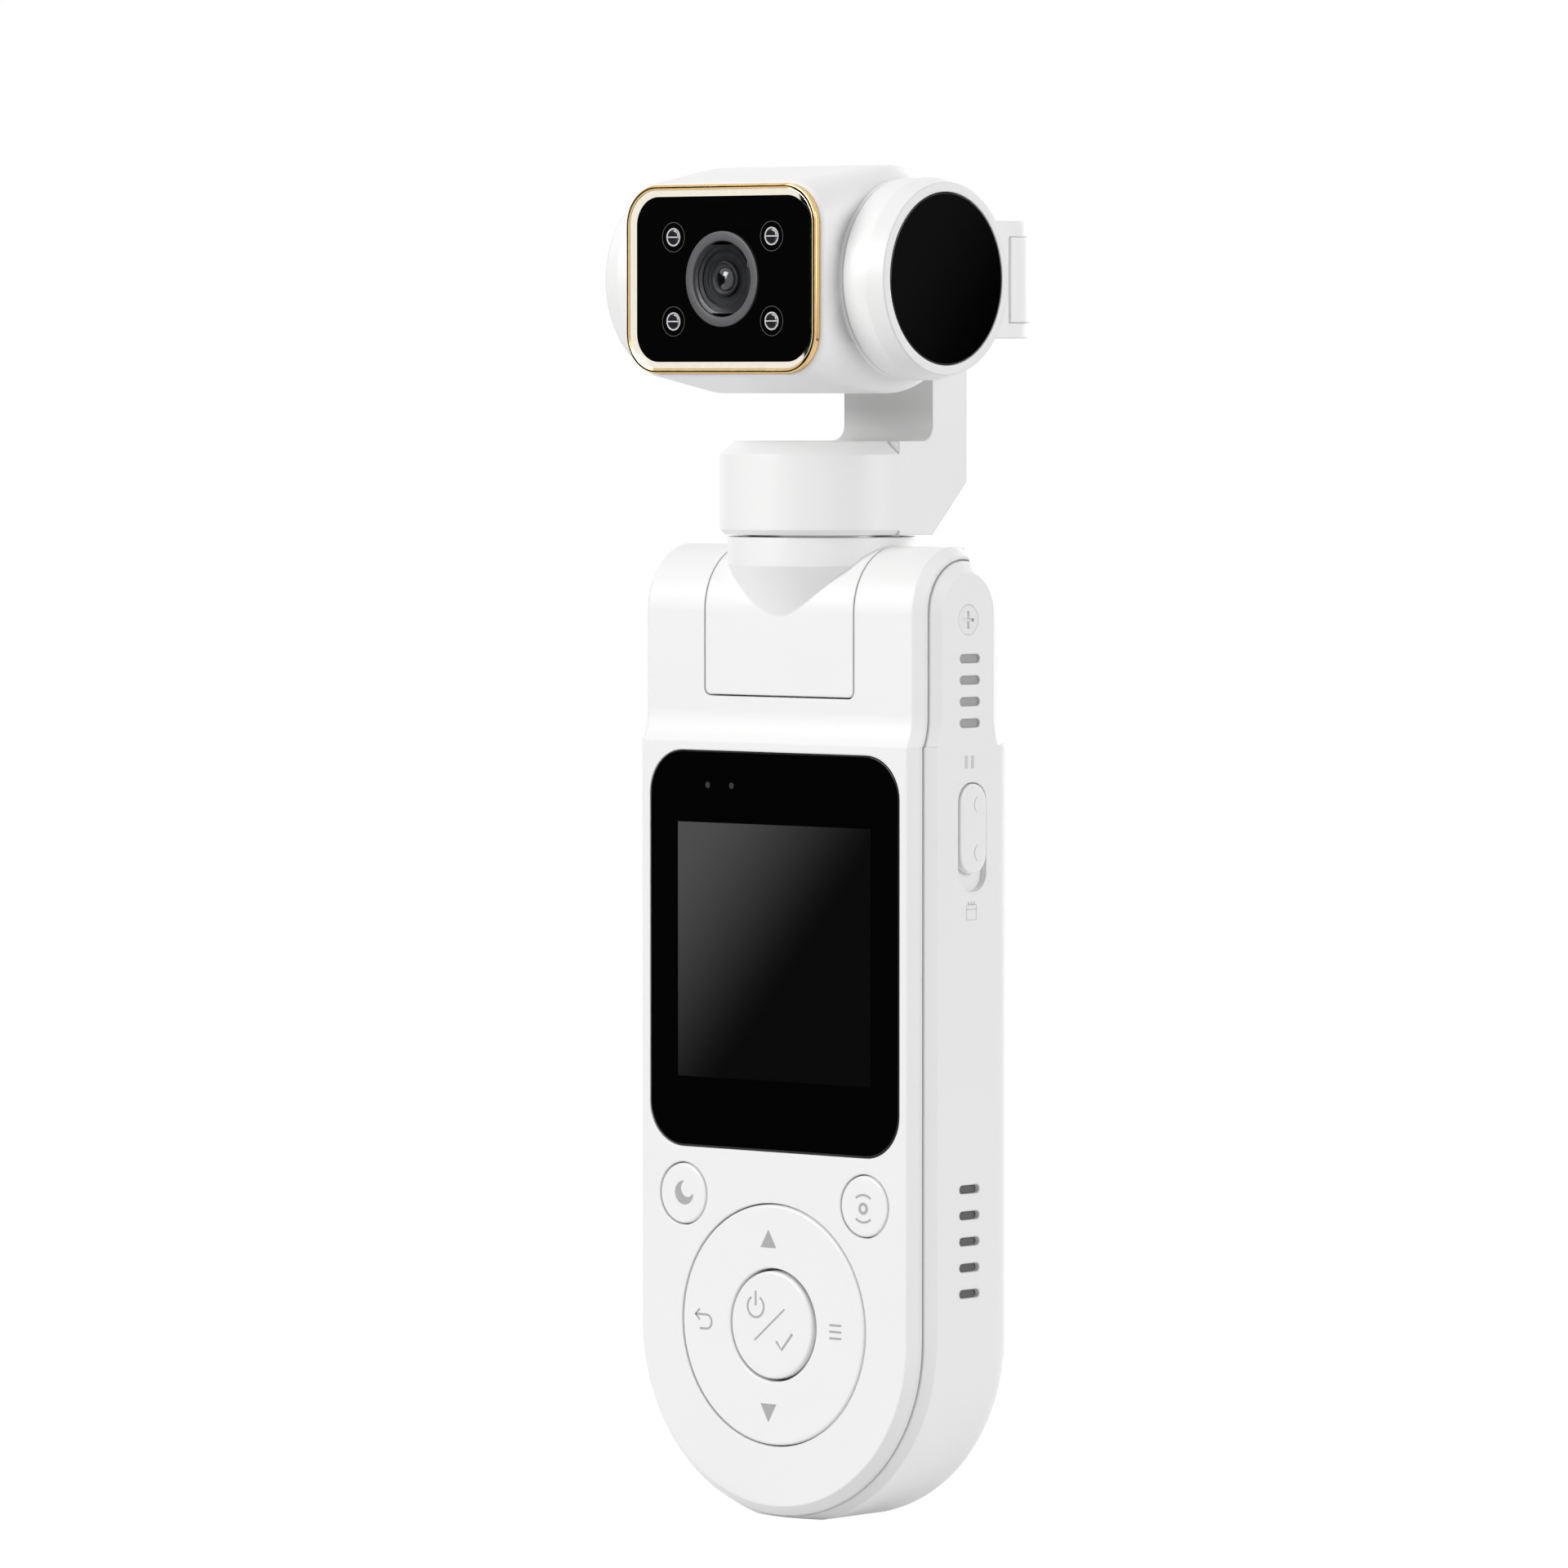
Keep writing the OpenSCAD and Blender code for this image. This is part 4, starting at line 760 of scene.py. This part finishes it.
# Faces inside the lip take the paler gold of the painted highlight.
for face in trim_object.data.polygons:
    offset = (np.array(face.center) / MM - HEAD_MID)[[0, 2]]
    beyond = np.abs(offset) - (np.array(TRIM_HALF) - TRIM_CORNER)
    inset = TRIM_CORNER - (np.hypot(*beyond) if (beyond > 0).all() else beyond.max())
    face.material_index = int(inset > LIP_W)

face_paint = Paint("face_black", Specular_IOR_Level=0.35)
face_cloud = face_paint.noise(3 * MM)
face_paint.colour(face_paint.blend(face_cloud, grey(0.0012), grey(0.0019)))
face_paint.rough(0.05 + face_cloud * 0.03)
face_paint.relief(face_paint.noise(0.3 * MM), 0.0001 * MM)
PANE_HALF = (10.65, 7.75)
PANE_CORNER = 2.9
PANE_FRONT = -11.32
PANE_BACK = -10.6
PANE_HOLE = 4.35


def holed_pane():
    """Plate between a rounded rectangle and a round hole: P(i, k) runs straight from one to the other."""
    path, _ = round_path(*PANE_HALF, PANE_CORNER, 24)
    way = path / np.linalg.norm(path, axis=1)[:, None]
    inner = way * PANE_HOLE
    near = path - (path - inner) * 0.015
    rings = [(inner, PANE_BACK), (inner, PANE_FRONT), (near, PANE_FRONT),
             (path, PANE_FRONT + 0.1), (path, PANE_BACK)]
    return np.stack([np.insert(flat, 1, depth, axis=1) for flat, depth in rings], 1) + HEAD_MID


piece("face_pane", holed_pane(), "head", face_paint.material, ["face_glass"])

# Lens
# A grey anodised ring leads into a stepped black barrel, turned with fine rings against glare.
# A domed glass closes the barrel, and a small dark element sits deep in its middle.
LENS_BACK = -10.3
LENS_R = 4.3
BARREL_R = 3.4
PUPIL_R = 1.0
RING_SECTION = [
    (LENS_R, LENS_BACK), (LENS_R, -11.5, 0.08), (3.5, -11.5, 0.05), (BARREL_R, -11.35),
    (BARREL_R, LENS_BACK)]
BARREL_STEPS = [
    (BARREL_R, -11.22), (3.05, -11.15), (3.03, -11.02), (2.6, -10.98), (2.58, -10.86), (2.1, -10.84),
    (2.08, -10.74), (1.62, -10.72), (1.5, -10.98), (1.32, -11.02), (1.2, -10.98), (1.02, -10.8),
    (PUPIL_R, LENS_BACK), (BARREL_R, LENS_BACK)]
ring_grey = clouded("lens_ring_grey", 0.25 * MM, (0.075, 0.075, 0.08), (0.1, 0.1, 0.105), 0.001 * MM,
                    0.34, 0.1, Metallic=0.35)
piece("lens_ring", turned(soften(RING_SECTION), HEAD_MID), "head", ring_grey, ["lens_bezel"])
barrel_paint = Paint("barrel_black")
barrel_x, _, barrel_z = barrel_paint.axes()
from_x, from_z = barrel_x - HEAD_MID[0], barrel_z - HEAD_MID[2]
ring_wave = ((from_x * from_x + from_z * from_z) * 1.7).sine() * 0.5 + 0.5
barrel_paint.colour(barrel_paint.blend(ring_wave, (0.003, 0.003, 0.004), (0.02, 0.021, 0.022)))
barrel_paint.rough(0.25 + barrel_paint.noise(0.3 * MM) * 0.15)
piece("lens_steps", turned(BARREL_STEPS, HEAD_MID),
      "head", barrel_paint.material, ["lens_barrel"])
pupil_black = clouded("lens_pupil", 0.8 * MM, (0.003, 0.003, 0.004), (0.012, 0.01, 0.014), 0.0004 * MM,
                      Roughness=0.03, Coat_Weight=1.0, Coat_Roughness=0.02)


def lens(radius, edge, rise, back, name, material, nodes=()):
    """Glass element: a spherical front of height rise over its edge, and a flat back."""
    reach = np.linspace(0, 1, 20)
    front = np.stack([radius * reach, edge - rise * (1 - reach ** 2)], -1)
    section = np.vstack([front, [[radius, back], [0, back]]])
    return piece(name, turned(section, HEAD_MID), "head", material, nodes, smooth=60)


lens(PUPIL_R, -10.9, 0.32, -10.4, "pupil_element", pupil_black, ["lens_elements"])
front_glass = Paint(
    "front_element", Roughness=0.0, IOR=1.25, Transmission_Weight=1.0, Base_Color=(0.97, 0.98, 1.0))
front_glass.relief(front_glass.noise(2 * MM), 0.0001 * MM)
lens(3.38, -11.32, 0.3, -11.26, "front_element", front_glass.material)

# Infrared lamps
# Four small lamps are glued in behind the face, for pictures in the dark.
# Each has a fine rim, a plated cup, a dome of dark resin and a bar across it.
LAMP_SPOTS = [(x, z) for x in (-5.9, 5.9) for z in (-3.8, 3.8)]
LAMP_TURNS = 49
LAMP_BACK = PANE_FRONT + 0.05
RIM_FRONT = PANE_FRONT - 0.03
CUP_FRONT = PANE_FRONT - 0.05
DOME_R = 0.64
DOME_BACK = PANE_FRONT + 0.1
BAR_HALF = 0.7
lamp_silver = clouded("lamp_silver", 0.2 * MM, (0.55, 0.55, 0.56), grey(0.8), 0.002 * MM,
                      0.18, 0.2, Metallic=0.3)
lamp_resin = clouded("lamp_resin", 0.3 * MM, (0.01, 0.009, 0.012), (0.03, 0.026, 0.034), 0.0006 * MM,
                     Roughness=0.05, Coat_Weight=0.5)
lamp_rim = [(1.36, LAMP_BACK), (1.35, RIM_FRONT), (1.31, RIM_FRONT), (1.3, LAMP_BACK)]
lamp_cup = [(0.84, LAMP_BACK), (0.82, CUP_FRONT), (0.7, CUP_FRONT), (0.66, LAMP_BACK)]
dome_turn = np.linspace(0, 1.2, 8)
dome_fall = np.cos(np.linspace(0, 1.5, 8))
lamp_dome = np.vstack([
    np.stack([DOME_R * np.sin(dome_turn) / math.sin(1.2), RIM_FRONT - 0.07 * dome_fall], -1),
    [[DOME_R, DOME_BACK], [0, DOME_BACK]]])
for number, (lamp_x, lamp_z) in enumerate(LAMP_SPOTS):
    for name, section, material in (
            ("rim", lamp_rim, ring_grey), ("cup", lamp_cup, lamp_silver), ("dome", lamp_dome, lamp_resin)):
        grid = turned(section, HEAD_MID + [lamp_x, 0, lamp_z], turns=LAMP_TURNS)
        nodes = ["infrared_lamps"] if (name, number) == ("dome", 0) else ()
        piece(f"lamp_{name}_{number}", grid, "head", material, nodes)
lamp_bars = []
for lamp_x, lamp_z in LAMP_SPOTS:
    bar_x, bar_z = HEAD_MID[0] + lamp_x, HEAD_MID[2] + lamp_z
    lamp_bars.append(([(bar_x - BAR_HALF, bar_z), (bar_x + BAR_HALF, bar_z)], 0.055))
signs("lamp_bars", "head", lamp_bars, HEAD_MID[1] + PANE_FRONT - 0.1,
      material=lamp_silver)

# Motor disc
# A black lacquered disc is pressed into the ring on the right, and hides the tilt motor's screws.
# Its edge is rounded, and a painted sheen lightens its black in a soft diagonal band.
DISC_FRONT = 16.82
DISC_BACK = DISC_FRONT - 0.6
DISC_R = 7.75
disc_paint = Paint("disc_black", Specular_IOR_Level=0.35)
disc_y, disc_z = disc_paint.axes()[1:]
# Painted sheen: the disc's colour is lighter in a broad diagonal band across it.
disc_painted_sheen = ((disc_y - HEAD_MID[1]) * 0.75 - (disc_z - HEAD_MID[2]) * 0.6).below(2.0, 14.0)
disc_paint.colour(disc_paint.blend(disc_painted_sheen, grey(0.0005), grey(0.006)))
disc_paint.rough(0.06 + disc_paint.noise(3 * MM) * 0.03)
disc_paint.relief(disc_paint.noise(0.3 * MM), 0.0001 * MM)
DISC_SECTION = [(0, DISC_FRONT), (DISC_R, DISC_FRONT, 0.16), (DISC_R, DISC_BACK), (0, DISC_BACK)]
piece("motor_cover", turned(soften(DISC_SECTION), HEAD_MID, "x"),
      "pan_arm", disc_paint.material, ["motor_disc"])

# Inner works
# Boards, motors, screws, the cell and the sockets keep their solid forms.
# Each gets the finish of its own stuff, for the views in which it shows.


def metal(name, low, high, rough, grain=0.1 * MM, metallic=1.0):
    """Metal with fine streaks of colour and gloss."""
    return clouded(name, grain, low, high, 0.001 * MM, rough - 0.1, 0.2, 4.0, Metallic=metallic)


steel = metal("bright_steel", grey(0.5), (0.66, 0.66, 0.67), 0.3)
screw_white = metal("screw_white", grey(0.82), grey(0.87), 0.35, metallic=0.05)
bronze = metal("sintered_bronze", (0.5, 0.3, 0.13), (0.62, 0.4, 0.2), 0.4)
magnet = metal("nickel_magnet", (0.3, 0.3, 0.31), (0.4, 0.4, 0.42), 0.25)
foil = metal("cell_foil", (0.45, 0.46, 0.48), (0.6, 0.61, 0.63), 0.38, 0.6 * MM)
copper_paint = Paint("copper_winding", Metallic=0.9)
winding_x, winding_y, winding_z = copper_paint.axes()
strand = ((winding_x + winding_z) * 45.0).sine() * 0.5 + 0.5
copper_paint.colour(copper_paint.blend(strand, (0.3, 0.1, 0.04), (0.7, 0.32, 0.14)))
copper_paint.rough(0.25 + strand * 0.2)
copper_paint.relief(strand, 0.02 * MM)
board_paint = Paint("board_green", Roughness=0.35)
trace = board_paint.node("TexBrick", None, {
    "Vector": board_paint.place, "Scale": 700.0, "Mortar Size": 0.06,
    "Color1": (0.008, 0.05, 0.022), "Color2": (0.012, 0.07, 0.03), "Mortar": (0.02, 0.13, 0.05)})
board_paint.colour(trace)
board_paint.relief(board_paint.noise(0.4 * MM), 0.01 * MM)
black = clouded("moulded_black", GRAIN, grey(0.012), grey(0.02), 0.004 * MM, 0.5, 0.15)
rubber = clouded("grey_silicone", 0.2 * MM, (0.24, 0.24, 0.25), (0.3, 0.3, 0.31), 0.003 * MM, 0.7, 0.1)
dress(steel, "processor_shield", "key_switches", "usb_port", "card_socket", "microphone", "slide_switch",
      "case_screws", "hinge_pins", "pan_base", "tilt_base", "pan_bell", "tilt_bell")
dress(screw_white, "hinge_screws")
dress(bronze, "hinge_bushes", "pan_bearings", "tilt_bearings", "tripod_insert")
dress(magnet, "pan_magnets", "tilt_magnets")
dress(foil, "battery")
dress(copper_paint.material, "pan_core", "tilt_core")
dress(board_paint.material, "main_board", "sensor_board", "gyro_board", "lamp_board")
dress(black, "display_panel", "speaker", "switch_lever")
dress(rubber, "pad_mat")
